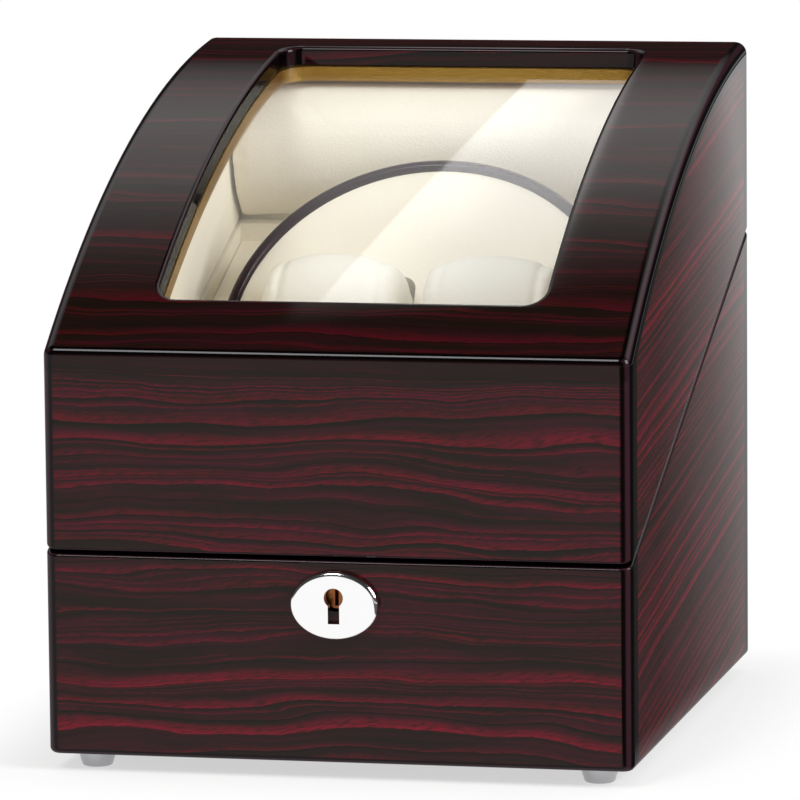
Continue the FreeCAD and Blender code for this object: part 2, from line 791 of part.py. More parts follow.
def turntable():
    disc = tilted_rod("disc_plate", "turntable_radius - rim_width", "-disc_thick", "0")
    half_long = "(cup_offset + cup_length / 2 + cup_wall)"
    half_wide = "(cup_width / 2 + cup_wall)"
    block_x = (f"-{half_long}", half_long)
    block = tilted_box("cup_block", block_x, (f"-{half_wide}", half_wide), (CUP_BACK, "-disc_thick / 2"))
    solid = fuse("disc_and_cups", [disc, block])
    wells = []
    for name, side in (("cup_left", "-1"), ("cup_right", "1")):
        middle = f"({side} * cup_offset)"
        x = (f"{middle} - cup_length / 2", f"{middle} + cup_length / 2")
        well = tilted_box(f"{name}_well", x, ("-cup_width / 2", "cup_width / 2"), ("-cup_deep", "disc_thick"))
        wells.append(round_edges(f"{name}_rounded", well, "cup_corner", is_along_axis))
    node("turntable_disc", cut_all("disc", solid, wells))
    rim_out = tilted_rod("rim_outer", "turntable_radius", "-disc_thick + rim_proud", "rim_proud")
    rim_in = tilted_rod("rim_inner", "turntable_radius - rim_width", "-disc_thick", "disc_thick")
    rim = cut("rim_ring", rim_out, rim_in)
    node("turntable_rim", round_edges("rim_rounded", rim, "rim_round", is_front_circle))
    flange = tilted_rod("shaft_flange", "flange_radius", FLANGE_BACK, CUP_BACK)
    stem = tilted_rod("shaft_stem", "shaft_radius", SHAFT_END, CUP_BACK)
    node("turntable_shaft", fuse("shaft_fused", [flange, stem]))
    bush_out = f"{PANEL_FRONT} + bush_flange"
    sleeve = tilted_rod("bush_sleeve", BUSH_RADIUS, f"{PANEL_BACK} - gear_standoff / 2", bush_out)
    collar = tilted_rod("bush_collar", f"{BUSH_RADIUS} + bush_flange_width", PANEL_FRONT, bush_out)
    bore = tilted_rod("bush_bore", "shaft_radius + run_fit", *THROUGH)
    node("turntable_bush", cut("bush_bored", fuse("bush_fused", [sleeve, collar]), bore))
    clip = tilted_rod("clip_disc", "shaft_radius + clip_width", f"{GEAR_BACK} - clip_thick", GEAR_BACK)
    clip_hole = tilted_rod("clip_hole", "shaft_radius", *THROUGH)
    node("retaining_clip", cut("clip_bored", clip, clip_hole))


def axis_direction():
    tilt = math.radians(value("turntable_tilt"))
    return Vector(0, -math.cos(tilt), math.sin(tilt))


def is_along_axis(edge):
    if len(edge.Vertexes) < 2:
        return False
    start, end = (vertex.Point for vertex in edge.Vertexes)
    along = (end - start).normalize()
    return abs(abs(along.dot(axis_direction())) - 1) < CLOSE


def is_front_circle(edge):
    """Whether an edge of the rim is one of the two circles of its front face."""
    face = Vector(0, value("turntable_y"), value("turntable_z"))
    distances = [(vertex.Point - face).dot(axis_direction()) for vertex in edge.Vertexes]
    return all(abs(distance - value("rim_proud")) < CLOSE for distance in distances)


# Gears with involute teeth: pressure angle in degrees, tooth heights in modules
PRESSURE_ANGLE = 20.0
ADDENDUM = 0.8
DEDENDUM = 1.15


def gear_outline(teeth, module, backlash, first_tooth):
    """Corners of a gear's outline, with three points on each flank."""
    pressure = math.radians(PRESSURE_ANGLE)
    pitch = module * teeth / 2
    base = pitch * math.cos(pressure)
    tip = pitch + ADDENDUM * module
    root = pitch - DEDENDUM * module
    half_tooth = math.pi / (2 * teeth) - backlash / (2 * pitch)
    start = max(base, root)

    def flank_angle(radius):
        roll = math.acos(min(1.0, base / radius))
        pitch_roll = math.acos(base / pitch)
        return half_tooth - ((math.tan(roll) - roll) - (math.tan(pitch_roll) - pitch_roll))

    radii = [start, (start + tip) / 2, tip]
    corners = []
    for tooth in range(teeth):
        middle = first_tooth + 2 * math.pi * tooth / teeth
        rising = [(root, -flank_angle(start))] + [(radius, -flank_angle(radius)) for radius in radii]
        falling = [(radius, -angle) for radius, angle in reversed(rising)]
        for radius, angle in rising + falling:
            corners.append(Vector(radius * math.cos(middle + angle), radius * math.sin(middle + angle), 0))
    distinct = [corners[0]]
    for corner in corners[1:]:
        if corner.distanceToPoint(distinct[-1]) > CLOSE:
            distinct.append(corner)
    return distinct


def gear_shape(teeth_cell, bore, first_tooth):
    corners = gear_outline(int(value(teeth_cell)), value("gear_module"), value("gear_backlash"), first_tooth)
    wheel = Part.Face(Part.makePolygon(corners + [corners[0]]))
    thick = value("gear_thick")
    solid = wheel.extrude(Vector(0, 0, thick))
    return solid.cut(Part.makeCylinder(bore, thick * 3, Vector(0, 0, -thick)))


def drive():
    wheel = DOC.addObject("Part::Feature", "drive_gear_form")
    wheel.Shape = gear_shape("gear_teeth", value("shaft_radius"), -math.pi / 2)
    place(wheel, "0", tilted_y("0", GEAR_BACK), tilted_z("0", GEAR_BACK), TURN)
    node("drive_gear", wheel)
    gap_up = math.pi / 2 + math.pi / value("pinion_teeth")
    pinion = DOC.addObject("Part::Feature", "pinion_form")
    pinion.Shape = gear_shape("pinion_teeth", value("output_radius"), gap_up)
    place(pinion, "0", tilted_y(PINION_UP, GEAR_BACK), tilted_z(PINION_UP, GEAR_BACK), TURN)
    node("pinion", pinion)
    plate_front = f"({PANEL_BACK} - bracket_standoff)"
    plate_back = f"({plate_front} - bracket_thick)"
    gearbox_back = f"({plate_back} - gearbox_length)"
    shaft_in = f"({plate_back} - gearbox_length / 2)"
    node("output_shaft", tilted_rod("output_stem", "output_radius", shaft_in, GEAR_FRONT, up=PINION_UP))
    up = (f"{PINION_UP} - bracket_half_height", f"{PINION_UP} + bracket_half_height")
    plate_x = ("-bracket_half_width", "bracket_half_width")
    plate = tilted_box("bracket_plate", plate_x, up, (plate_back, plate_front))
    posts = []
    screws = []
    holes = [tilted_rod("output_hole", "output_radius + run_fit", *THROUGH, up=PINION_UP)]
    for side in ("-1", "1"):
        for level in ("-1", "1"):
            x = f"{side} * post_x"
            rise = f"({PINION_UP} + {level} * post_rise)"
            posts.append(tilted_rod("bracket_post", "post_radius", plate_back, PANEL_BACK, x, rise))
            holes.append(tilted_rod("post_hole", "screw_radius", *THROUGH, x, rise))
            shank = tilted_rod("post_screw_shank", "screw_radius", plate_back, PANEL_BACK, x, rise)
            head_back = f"{plate_back} - screw_head"
            head = tilted_rod("post_screw_head", "screw_head_radius", head_back, plate_back, x, rise)
            screws.append(fuse("post_screw", [shank, head]))
    node("motor_bracket", cut_all("bracket", fuse("bracket_fused", [plate] + posts), holes))
    housing = tilted_rod("gearbox_body", "gearbox_radius", gearbox_back, plate_back, up=PINION_UP)
    bearing = tilted_rod("gearbox_bore", "output_radius + run_fit", shaft_in, "0", up=PINION_UP)
    node("gearbox", cut("gearbox_bored", housing, bearing))
    can = tilted_rod("motor_body", "motor_radius", MOTOR_BACK, gearbox_back, up=PINION_UP)
    node("motor", round_edges("motor_eased", can, "motor_round", is_back_circle))
    return screws


def is_back_circle(edge):
    """Whether an edge lies on the motor's far end."""
    face = Vector(0, value("turntable_y"), value("turntable_z"))
    distances = [(vertex.Point - face).dot(axis_direction()) for vertex in edge.Vertexes]
    return all(abs(distance - value(MOTOR_BACK)) < CLOSE for distance in distances)


# Lock: escutcheon, plug, case and bolt in the base, strike on the lid
STRIKE_LOW = seam_at(f"-{INNER_Y}", "strike_lift")
TAB_Y = f"(-{INNER_Y} + tab_front)"
TAB_MIDDLE_Y = f"({TAB_Y} + tab_width / 2)"
BOLT_LOW = "(tab_bottom + bolt_rise)"


def lock():
    oval = DOC.addObject("Part::Ellipse", "escutcheon_oval")
    bind(oval, MajorRadius="escutcheon_width / 2", MinorRadius="escutcheon_height / 2")
    place(oval, "0", f"-{HALF_DEPTH} - escutcheon_proud", "escutcheon_z", FACING_FRONT)
    plate = DOC.addObject("Part::Extrusion", "escutcheon_plate")
    plate.Base = oval
    plate.DirMode = "Normal"
    plate.Solid = True
    bind(plate, LengthFwd="escutcheon_proud")
    eased = round_edges("escutcheon_eased", plate, "escutcheon_round", is_escutcheon_front)
    pierced_y = (f"-{HALF_DEPTH} - board", f"-{HALF_DEPTH} + board")
    eye = rod("keyhole_eye", "keyhole_radius", "board * 2", "0", pierced_y[0], "keyhole_z", ALONG_BACK)
    slot_x = ("-keyslot_width / 2", "keyslot_width / 2")
    slot = box("keyhole_slot", slot_x, pierced_y, ("keyslot_bottom", "keyhole_z"))
    node("escutcheon", cut_all("escutcheon_pierced", eased, [eye, slot]))
    lock_back = f"(-{INNER_Y} + lock_deep)"
    plug_front = f"(-{HALF_DEPTH} + plug_recess)"
    plug_length = f"{lock_back} - {plug_front}"
    plug = rod("plug_body", "plug_radius", plug_length, "0", plug_front, "keyhole_z", ALONG_BACK)
    key_slot = box(
        "plug_key_slot",
        ("-plug_slot_width / 2", "plug_slot_width / 2"),
        (f"{plug_front} - board", f"{plug_front} + plug_slot_deep"),
        ("keyhole_z - plug_slot_below", "keyhole_z + plug_slot_above"),
    )
    node("lock_plug", cut("plug_slotted", plug, key_slot))
    case_x = ("-lock_half_width", "lock_half_width")
    case = box("lock_block", case_x, (f"-{INNER_Y}", lock_back), ("lock_bottom", "lock_top"))
    bore = "plug_radius + run_fit"
    bore_start = f"-{INNER_Y} - board"
    plug_hole = rod("plug_hole", bore, "board * 4", "0", bore_start, "keyhole_z", ALONG_BACK)
    tab_room = box(
        "tab_room",
        ("-tab_thick / 2 - bolt_fit", "tab_thick / 2 + bolt_fit"),
        (f"-{INNER_Y} + bolt_fit", f"{TAB_Y} + tab_width + bolt_fit * 2"),
        ("tab_bottom - bolt_fit", "lid_top"),
    )
    bolt_y = (f"{TAB_MIDDLE_Y} - bolt_depth / 2", f"{TAB_MIDDLE_Y} + bolt_depth / 2")
    bolt_z = (BOLT_LOW, f"{BOLT_LOW} + bolt_height")
    bolt_start = "(-tab_thick / 2 - bolt_fit * 2)"
    bolt_x = (f"{bolt_start} - bolt_length", bolt_start)
    node("lock_bolt", box("bolt_block", bolt_x, bolt_y, bolt_z))
    channel = grown_box("bolt_channel", (bolt_x[0], f"{bolt_start} + bolt_travel"), bolt_y, bolt_z)
    node("lock_case", cut_all("lock_case", case, [plug_hole, tab_room, channel]))
    plate_y = (f"-{INNER_Y}", f"-{INNER_Y} + strike_thick")
    plate_z = (STRIKE_LOW, f"{STRIKE_LOW} + strike_height")
    strike_plate = box("strike_plate_block", ("-strike_half_width", "strike_half_width"), plate_y, plate_z)
    tab_x = ("-tab_thick / 2", "tab_thick / 2")
    arm_y = (f"-{INNER_Y}", f"{TAB_Y} + tab_width")
    arm = box("strike_arm", tab_x, arm_y, (STRIKE_LOW, f"{STRIKE_LOW} + tab_width"))
    tab = box("strike_tab", tab_x, (TAB_Y, f"{TAB_Y} + tab_width"), ("tab_bottom", STRIKE_LOW))
    window = grown_box("tab_window", ("-tab_thick", "tab_thick"), bolt_y, bolt_z)
    node("lock_strike", cut("strike_pierced", fuse("strike_fused", [strike_plate, arm, tab]), window))


def grown_box(name, x, y, z):
    """A block grown by the bolt's clearance on every side."""
    grown = [(f"{low} - bolt_fit", f"{high} + bolt_fit") for low, high in (x, y, z)]
    return box(name, *grown)


def is_escutcheon_front(edge):
    front = value(f"-{HALF_DEPTH} - escutcheon_proud")
    return all(abs(vertex.Point.y - front) < CLOSE for vertex in edge.Vertexes)


# Rear controls in a recessed cup: two knobs and the power inlet
def about_control(half):
    """A span of heights about the controls' middle."""
    return (f"control_z - ({half})", f"control_z + {half}")


def control_rod(name, radius, length, x, y):
    """A round piece of the controls that runs to the back from a depth."""
    return rod(name, radius, length, x, y, "control_z", ALONG_BACK)


def controls():
    half_x = "(control_width / 2 - control_fit)"
    half_z = "(control_height / 2 - control_fit)"
    floor_back = f"({HALF_DEPTH} - control_deep)"
    floor_out = f"({floor_back} + control_wall)"
    tube = box("control_tube", (f"-{half_x}", half_x), (floor_back, HALF_DEPTH), about_control(half_z))
    rim_x = "(control_width / 2 + control_rim)"
    rim_z = "(control_height / 2 + control_rim)"
    flange_out = f"({HALF_DEPTH} + control_flange)"
    flange = box("control_flange_block", (f"-{rim_x}", rim_x), (HALF_DEPTH, flange_out), about_control(rim_z))
    inner_x = f"({half_x} - control_wall)"
    inner_z = f"({half_z} - control_wall)"
    hollow_y = (floor_out, f"{flange_out} + board")
    hollow = box("control_hollow", (f"-{inner_x}", inner_x), hollow_y, about_control(inner_z))
    holes = [hollow]
    knob_base = f"({floor_out} + knob_lift)"
    switch_back = f"({floor_back} - switch_deep)"
    switches = []
    for label, side in (("mode_knob", "-1"), ("turns_knob", "1")):
        x = f"({side} * knob_x)"
        cap = control_rod(f"{label}_cap", "knob_radius", "knob_height", x, knob_base)
        eased = round_edges(f"{label}_eased", cap, "knob_round", is_knob_crown)
        spindle_start = f"({switch_back} + switch_deep / 2)"
        spindle_length = f"{knob_base} - {spindle_start}"
        spindle = control_rod(f"{label}_spindle", "spindle_radius", spindle_length, x, spindle_start)
        pointer = box(
            f"{label}_pointer",
            (f"{x} - pointer_width / 2", f"{x} + pointer_width / 2"),
            (f"{knob_base} + knob_height - pointer_deep", f"{knob_base} + knob_height * 2"),
            ("control_z + pointer_start", "control_z + knob_radius * 2"),
        )
        node(label, cut(f"{label}_marked", fuse(f"{label}_fused", [eased, spindle]), pointer))
        bore = control_rod(f"{label}_bore", "spindle_radius + run_fit", "board * 2", x, spindle_start)
        holes.append(bore)
        switch_x = (f"{x} - switch_half_width", f"{x} + switch_half_width")
        switch_y = (switch_back, floor_back)
        body = box(f"{label}_switch_block", switch_x, switch_y, about_control("switch_half_width"))
        switches.append(cut(f"{label}_switch_bored", body, bore))
    node("control_switches", group("control_switch_group", switches))
    jack_x = ("-jack_half_width", "jack_half_width")
    jack_z = about_control("jack_half_width")
    jack = box("jack_block", jack_x, (switch_back, f"{floor_out} + control_wall"), jack_z)
    holes.append(box("jack_hole", jack_x, (switch_back, HALF_DEPTH), jack_z))
    bore_start = f"({floor_out} + control_wall - jack_bore_deep)"
    socket = control_rod("jack_bore", "jack_bore_radius", "board * 2", "0", bore_start)
    pin = control_rod("jack_pin", "jack_pin_radius", "jack_bore_deep", "0", bore_start)
    node("power_inlet", fuse("jack_fused", [cut("jack_bored", jack, socket), pin]))
    node("control_cup", cut_all("control_cup", fuse("control_cup_fused", [tube, flange]), holes))
    board_y = (f"{switch_back} - circuit_board_thick", switch_back)
    node("control_board", box("circuit_board", (f"-{half_x}", half_x), board_y, about_control(half_z)))


def is_knob_crown(edge):
    crown = value(f"{HALF_DEPTH} - control_deep + control_wall + knob_lift + knob_height")
    return all(abs(vertex.Point.y - crown) < CLOSE for vertex in edge.Vertexes)


# Hinges on the back: two leaves and a pin each, with their screws
def hinges(bracket_screws):
    axis_y = f"({HALF_DEPTH} + knuckle_radius)"
    parts = {"base": [], "lid": []}
    screws = {"base": [], "lid": []}
    pins = []
    for side in ("-1", "1"):
        middle = f"({side} * hinge_x)"
        start = f"({middle} - hinge_length / 2)"
        third = "(hinge_length / 3)"
        pins.append(rod("hinge_pin_rod", "pin_radius", "hinge_length", start, axis_y, "seam_back", ALONG_X))
        for half, sign, knuckles in (("base", "-1", (0, 2)), ("lid", "1", (1,))):
            leaf_y = (HALF_DEPTH, f"{HALF_DEPTH} + leaf_thick")
            near = f"(seam_back + {sign} * leaf_clear)"
            far = f"(seam_back + {sign} * leaf_height)"
            leaf_z = (far, near) if sign == "-1" else (near, far)
            pieces = [box("leaf_plate", (start, f"{start} + hinge_length"), leaf_y, leaf_z)]
            for count in knuckles:
                from_x = f"({start} + {count} * {third} + knuckle_gap / 2)"
                length = f"({third} - knuckle_gap)"
                pieces.append(rod("knuckle", "knuckle_radius", length, from_x, axis_y, "seam_back", ALONG_X))
                web_z = (near, "seam_back") if sign == "-1" else ("seam_back", near)
                pieces.append(box("knuckle_web", (from_x, f"{from_x} + {length}"), leaf_y, web_z))
            fit = "run_fit" if half == "lid" else "0"
            hole_x = f"{start} - hinge_length / 2"
            bore = f"pin_radius + {fit}"
            hole = rod("pin_hole", bore, "hinge_length * 2", hole_x, axis_y, "seam_back", ALONG_X)
            leaf = cut("leaf_bored", fuse("leaf_fused", pieces), hole)
            screw_z = f"(seam_back + {sign} * (leaf_height + leaf_clear) / 2)"
            for reach in ("-1", "1"):
                x = f"({middle} + {reach} * {third})"
                shank, head = wood_screw(x, screw_z)
                screws[half].append(fuse("hinge_screw", [shank, head]))
                leaf = cut("leaf_drilled", leaf, shank)
            parts[half].append(leaf)
    for half in ("base", "lid"):
        node(f"{half}_hinge_leaves", group(f"{half}_leaf_group", parts[half]))
        loose = bracket_screws if half == "base" else []
        node(f"{half}_screws", group(f"{half}_screw_group", screws[half] + loose))
        board = NODES[f"{half}_back_board"]
        board.Label = f"{half}_back_board_plain"
        node(f"{half}_back_board", cut_all(f"{half}_back_drilled", board, screws[half]))
    node("hinge_pins", group("hinge_pin_group", pins))


def wood_screw(x, z):
    """A screw through a hinge leaf into the back board, with its head on the leaf."""
    leaf_out = f"({HALF_DEPTH} + leaf_thick)"
    shank = rod("screw_shank", "screw_radius", "screw_length", x, f"{leaf_out} - screw_length", z, ALONG_BACK)
    head = rod("screw_head", "screw_head_radius", "screw_head", x, leaf_out, z, ALONG_BACK)
    return shank, head


def feet():
    items = []
    for side in ("-1", "1"):
        for end in ("-1", "1"):
            foot = DOC.addObject("Part::Cone", "foot_cone")
            bind(foot, Radius1="foot_bottom_radius", Radius2="foot_top_radius", Height="foot_height")
            place(foot, f"{side} * ({HALF_WIDTH} - foot_inset)", f"{end} * ({HALF_DEPTH} - foot_inset)")
            items.append(round_edges("foot_eased", foot, "foot_round", is_foot_bottom))
    node("feet", group("foot_group", items))


def is_foot_bottom(edge):
    return all(abs(vertex.Point.z) < CLOSE for vertex in edge.Vertexes)


def write_parts():
    DOC.recompute()
    for item in DOC.Objects:
        if "Invalid" in item.State or "Error" in item.State:
            raise RuntimeError(f"{item.Name} did not recompute: {item.State}")
    for label, item in NODES.items():
        if item.Shape.isNull() or not item.Shape.isValid() or not item.Shape.Solids:
            raise RuntimeError(f"{label} has no valid solid")
    os.makedirs("parts", exist_ok=True)
    for label, item in NODES.items():
        item.Shape.exportStep(f"parts/{label}.step")
    print(len(NODES), "sub-parts written")


def main():
    base_form, lid_form = case_halves()
    case_boards(base_form, lid_form)
    lid_linings()
    base_linings()
    tray_and_panel()
    pillows()
    turntable()
    bracket_screws = drive()
    lock()
    controls()
    hinges(bracket_screws)
    feet()
    write_parts()


main()
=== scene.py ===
import json
import math

import bpy
from bpy.props import FloatProperty, FloatVectorProperty, PointerProperty
from bpy.types import Operator, Panel, PropertyGroup
from mathutils import Matrix, Vector


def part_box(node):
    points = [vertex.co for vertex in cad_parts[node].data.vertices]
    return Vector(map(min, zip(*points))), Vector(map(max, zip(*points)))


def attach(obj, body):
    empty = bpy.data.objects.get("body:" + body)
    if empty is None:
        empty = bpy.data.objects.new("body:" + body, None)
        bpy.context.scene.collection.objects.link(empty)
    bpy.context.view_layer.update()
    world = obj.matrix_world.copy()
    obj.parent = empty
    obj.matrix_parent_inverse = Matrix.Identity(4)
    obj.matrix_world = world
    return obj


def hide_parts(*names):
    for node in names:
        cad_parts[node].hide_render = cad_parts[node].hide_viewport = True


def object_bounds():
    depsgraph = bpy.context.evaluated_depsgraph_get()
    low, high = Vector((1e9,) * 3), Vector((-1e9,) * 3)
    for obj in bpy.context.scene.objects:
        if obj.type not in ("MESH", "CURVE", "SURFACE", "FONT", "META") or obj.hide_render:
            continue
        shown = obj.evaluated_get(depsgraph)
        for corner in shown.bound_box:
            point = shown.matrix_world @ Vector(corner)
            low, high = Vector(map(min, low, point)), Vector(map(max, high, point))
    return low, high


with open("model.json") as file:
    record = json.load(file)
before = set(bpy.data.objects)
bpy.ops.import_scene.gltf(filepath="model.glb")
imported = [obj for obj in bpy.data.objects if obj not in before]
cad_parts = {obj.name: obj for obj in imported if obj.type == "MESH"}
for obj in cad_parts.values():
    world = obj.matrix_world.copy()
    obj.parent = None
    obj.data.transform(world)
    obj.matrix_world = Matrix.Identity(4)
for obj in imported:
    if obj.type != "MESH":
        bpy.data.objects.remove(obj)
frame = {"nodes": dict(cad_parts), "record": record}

bl_info = {
    "name": "Watch Winder Box",
    "version": (1, 0, 0),
    "blender": (4, 5, 0),
    "location": "View3D > Sidebar > Winder",
    "description": "Finishes a lacquered watch winder box and sets up its studio",
    "category": "Object",
}

NODES = frame["nodes"]
CAD_LOW, CAD_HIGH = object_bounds()
PILLOW_ROWS = {
    "pillow_left": ["pillow_right"],
    "storage_pillow_left": ["storage_pillow_middle", "storage_pillow_right"],
}

LEFT_TO_RIGHT = Vector((1, 0, 0))
FRONT_TO_BACK = Vector((0, 1, 0))
UPWARD = Vector((0, 0, 1))
# Centre of the arc that the lid's top follows
LID_ARC_CENTRE = Vector((0.0, 0.1493, -0.2249))
BLACK = (0.0, 0.0, 0.0, 1.0)
WHITE = (1.0, 1.0, 1.0, 1.0)

# Waves of the grain: length as a share of the wave length, spread across the grain, height as a share
GRAIN_WAVES = ((1.0, 0.017, 1.0), (3.2, 0.04, 2.2), (0.3, 0.006, 0.14), (0.06, 0.002, 0.06))
# Cell of these waves through the board
GRAIN_DEPTH = 0.05
# Cells of the grain's noises in metres: along the grain, across it and through the board
CROWD_CELL = (0.6, 0.019, 0.1)
FIBRE_CELL = (0.022, 0.0006, 0.01)
FLECK_CELL = (0.0045, 0.0006, 0.01)
WARMTH_CELL = (0.055, 0.0040, 0.05)
CROWD_SHIFT = 0.016
FLECK_SLANT = -0.16
# Length over which a streak changes, and the seed of its kind
BROAD_STREAKS = (0.085, 11.0)
THIN_STREAKS = (0.022, 53.0)
# Distance between neighbouring streaks in the noise that changes them along the grain
STREAK_SEPARATION = 3.7
# A streak's strength grows with its own luck and with that noise, above a threshold
LUCK_GAIN = 1.35
CHANGE_GAIN = 1.5
STREAK_THRESHOLD = 1.18
# Growth with a streak's luck, and the least value, of its width and of the dark line beside it
STREAK_WIDTH = (0.43, 0.25)
STREAK_LINE = (0.6, 0.4)
# Strength of the thin streaks and of their dark lines beside the broad ones
THIN_RED_SHARE = 0.62
THIN_DARK_SHARE = 0.35
# Levels by noise, by place between two streaks or by how squarely a spot faces out of its board
WARMTH_LEVELS = ((0.40, 0.0), (0.62, 1.0))
FIBRE_LEVELS = ((0.30, 0.72), (0.70, 1.0))
FLECK_DARK_LEVELS = ((0.28, 0.55), (0.46, 0.0))
STREAK_GAP_LEVELS = ((0.74, 0.0), (0.92, 1.0), (1.0, 1.0))
UPRIGHT_LEVELS = ((0.0, 0.0), (0.96, 0.0), (0.98, 1.0))
# Painted shade and dark reflection on rounded edges and on faces turned from the board's face, and a paler
# painted reflection line along the edges
PAINTED_REFLECTION_LINE_LEVELS = ((0.0, 0.0), (0.52, 0.0), (0.66, 1.0), (0.84, 1.0), (0.92, 0.0))
PAINTED_EDGE_SHADE_LEVELS = ((0.0, 1.0), (0.980, 1.0), (0.998, 0.0))
# Painted shade on the faces of a metal part that are turned to the left or right
PAINTED_SIDE_SHADE_LEVELS = ((0.3, 0.0), (0.8, 1.0))
LACQUER_WEIGHT = 0.38
# A normal times a place gives less than this on the inner faces of the front and back boards
INNER_FACE = -0.05

# Edges of the soft box that the pane mirrors: sideways direction as a slope along Y and an offset
GLARE_LEFT = (0.0554, -0.2482)
GLARE_RIGHT = (0.0258, -0.2059)
GLARE_SHARPNESS = 2500.0
# Share of its level by upward direction, which evens out the pane's own stronger mirroring at its top
GLARE_LEVELS = (
    (0.380, 0.0), (0.395, 0.22), (0.55, 0.34), (0.70, 0.62), (0.82, 1.0), (0.915, 1.0), (0.94, 0.0)
)
# Levels of the surroundings in mirrors by upward direction
HORIZON_LEVELS = ((0.0, 1.0), (0.02, 0.8), (0.09, 0.05), (0.42, 0.04), (0.92, 0.02))
BACK_BOX_LEVELS = ((0.40, 0.0), (0.64, 1.0), (0.78, 1.0), (0.92, 0.0))
BACK_BOX_EDGE = 0.25

# Levels of the floor that the right side mirrors, from the front to the back, as shares of the brightest
SIDE_BRIGHTEST = 1.8
SIDE_LEVELS = (
    (0.0, 0.05), (0.25, 0.08), (0.40, 0.15), (0.58, 0.30),
    (0.70, 0.467), (0.79, 0.633), (0.85, 0.756), (0.94, 1.0),
)
# The mirrored shade runs along Y less this share of the distance from the right side
SIDE_SLANT = -5.45
SIDE_FRONT = -0.161
SIDE_BACK = 0.239
SIDE_SOFT_EDGE = 0.015
# The floor is partly matt round the case, where its shadow falls, and an even white beyond this border
CASE_HALF = (0.095, 0.11, 0.0)
FLOOR_BORDER = 0.05
FLOOR_WHITE_AT_CASE = 0.6
FLOOR_GREY = 0.07

# Cloth behaves best at the size of a large cushion, so padded pieces are filled this many times as large
CLOTH_SCALE = 10
CLOTH_FRAMES = 20
# A sunk seam reaches this many times its half width
SEAM_REACH = 3


def screen(red, green, blue):
    """A colour as it looks on screen, 0 to 255, in the linear values that shaders take."""
    shares = [part / 255 for part in (red, green, blue)]
    return tuple(
        share / 12.92 if share <= 0.04045 else ((share + 0.055) / 1.055) ** 2.4 for share in shares
    )


def colour_property(name, description, default):
    return FloatVectorProperty(
        name=name, description=description, subtype="COLOR", size=3, min=0.0, max=1.0, default=default
    )


def length_property(name, description, default):
    return FloatProperty(
        name=name, description=description, subtype="DISTANCE", unit="LENGTH", default=default
    )


def angle_property(name, description, degrees):
    return FloatProperty(
        name=name, description=description, subtype="ANGLE", default=math.radians(degrees)
    )


def power_property(name, description, watts):
    return FloatProperty(name=name, description=description, subtype="POWER", default=watts)


class WinderColours(PropertyGroup):
    """Colours of the finishes"""
    veneer_ground: colour_property("Veneer ground", "Dark wood between the streaks", screen(28, 18, 13))
    veneer_plum: colour_property("Veneer plum", "Warmer wood in the ground", screen(47, 16, 22))
    veneer_red: colour_property("Veneer red", "Bright streaks of the veneer", screen(126, 12, 36))
    veneer_black: colour_property("Veneer black", "Thin dark lines beside the streaks", screen(18, 14, 8))
    # Painted shade and dark reflection on the rounded edges, and a paler painted reflection line along them
    painted_edge_shade: colour_property("Edge black", "Stain on the rounded edges", screen(6, 3, 4))
    painted_edge_reflection: colour_property("Edge plum", "Paler line along a rounded edge", screen(46, 26, 32))
    cream: colour_property("Cream lining", "Leather cloth inside the box", screen(248, 240, 222))
    pillow: colour_property("Pillow", "Leather cloth of the pillows", screen(250, 245, 232))
    gold: colour_property("Gold", "Strip round the window", screen(200, 158, 76))
    # The gold strip's sides are darkened as painted shade
    gold_painted_shade: colour_property("Gold sides", "Strip along the window's sides", screen(148, 116, 62))
    ebony: colour_property("Ebony", "Rim of the turntable", screen(40, 18, 24))
    chrome: colour_property("Chrome", "Plated lock plate", screen(250, 250, 250))
    copper: colour_property("Copper", "Lock plug", screen(150, 92, 58))
    brass: colour_property("Brass", "Hinges and bush", screen(206, 168, 96))
    steel: colour_property("Steel", "Screws, shafts and drive", screen(196, 196, 200))
    black_plastic: colour_property("Black plastic", "Controls", screen(30, 30, 32))
    nylon: colour_property("Nylon", "Gears", screen(232, 228, 214))
    circuit: colour_property("Circuit board", "Board behind the controls", screen(30, 92, 54))
    silver: colour_property("Silver", "Feet", screen(184, 184, 187))


class WinderSizes(PropertyGroup):
    """Sizes of the finishes"""
    streak_spacing: length_property("Streak spacing", "Mean distance between streaks", 0.0052)
    line_spacing: length_property("Line spacing", "Mean distance between the thin lines", 0.0017)
    wave_length: length_property("Wave length", "Length of the waves in the grain", 0.048)
    wave_height: length_property("Wave height", "Height of the waves in the grain", 0.0042)
    leather_grain: length_property("Leather grain", "Size of the pebbles in the leather cloth", 0.0009)
    seam_offset: length_property("Seam offset", "Distance of a pillow's seams from its middle", 0.0165)
    seam_width: length_property("Seam width", "Half the width of a sunk seam", 0.0010)
    seam_depth: length_property("Seam depth", "Depth of a sunk seam", 0.0009)
    pressure: FloatProperty(
        name="Pressure", description="Pressure that fills the padded pieces", default=4.0
    )


class WinderStage(PropertyGroup):
    """Camera and light"""
    camera_place: FloatVectorProperty(
        name="Camera place", description="Where the camera stands", subtype="TRANSLATION", unit="LENGTH",
        size=3, default=(0.4666, -2.0912, 0.3995),
    )
    azimuth: angle_property("Azimuth", "Turn of the view round the box", 12.6632)
    elevation: angle_property("Elevation", "Tilt of the view from above", 7.7843)
    roll: angle_property("Roll", "Roll of the view", -0.5507)
    lens: FloatProperty(name="Lens", description="Focal length in millimetres", default=294.6)
    sky: FloatProperty(name="Sky", description="Even light from all round", default=0.64)
    key: power_property("Key", "Power of the main lamp", 10.2)
    fill: power_property("Fill", "Power of the lamp on the right", 23.0)
    back_box: FloatProperty(
        name="Back box", description="Level of the soft box behind, in reflections", default=1.75
    )
    glare: FloatProperty(
        name="Glare", description="Level of the soft box mirrored in the pane", default=4.6
    )
    floor_radius: length_property("Floor radius", "Radius of the pale floor", 9.0)


def colours():
    return bpy.context.scene.winder_colours


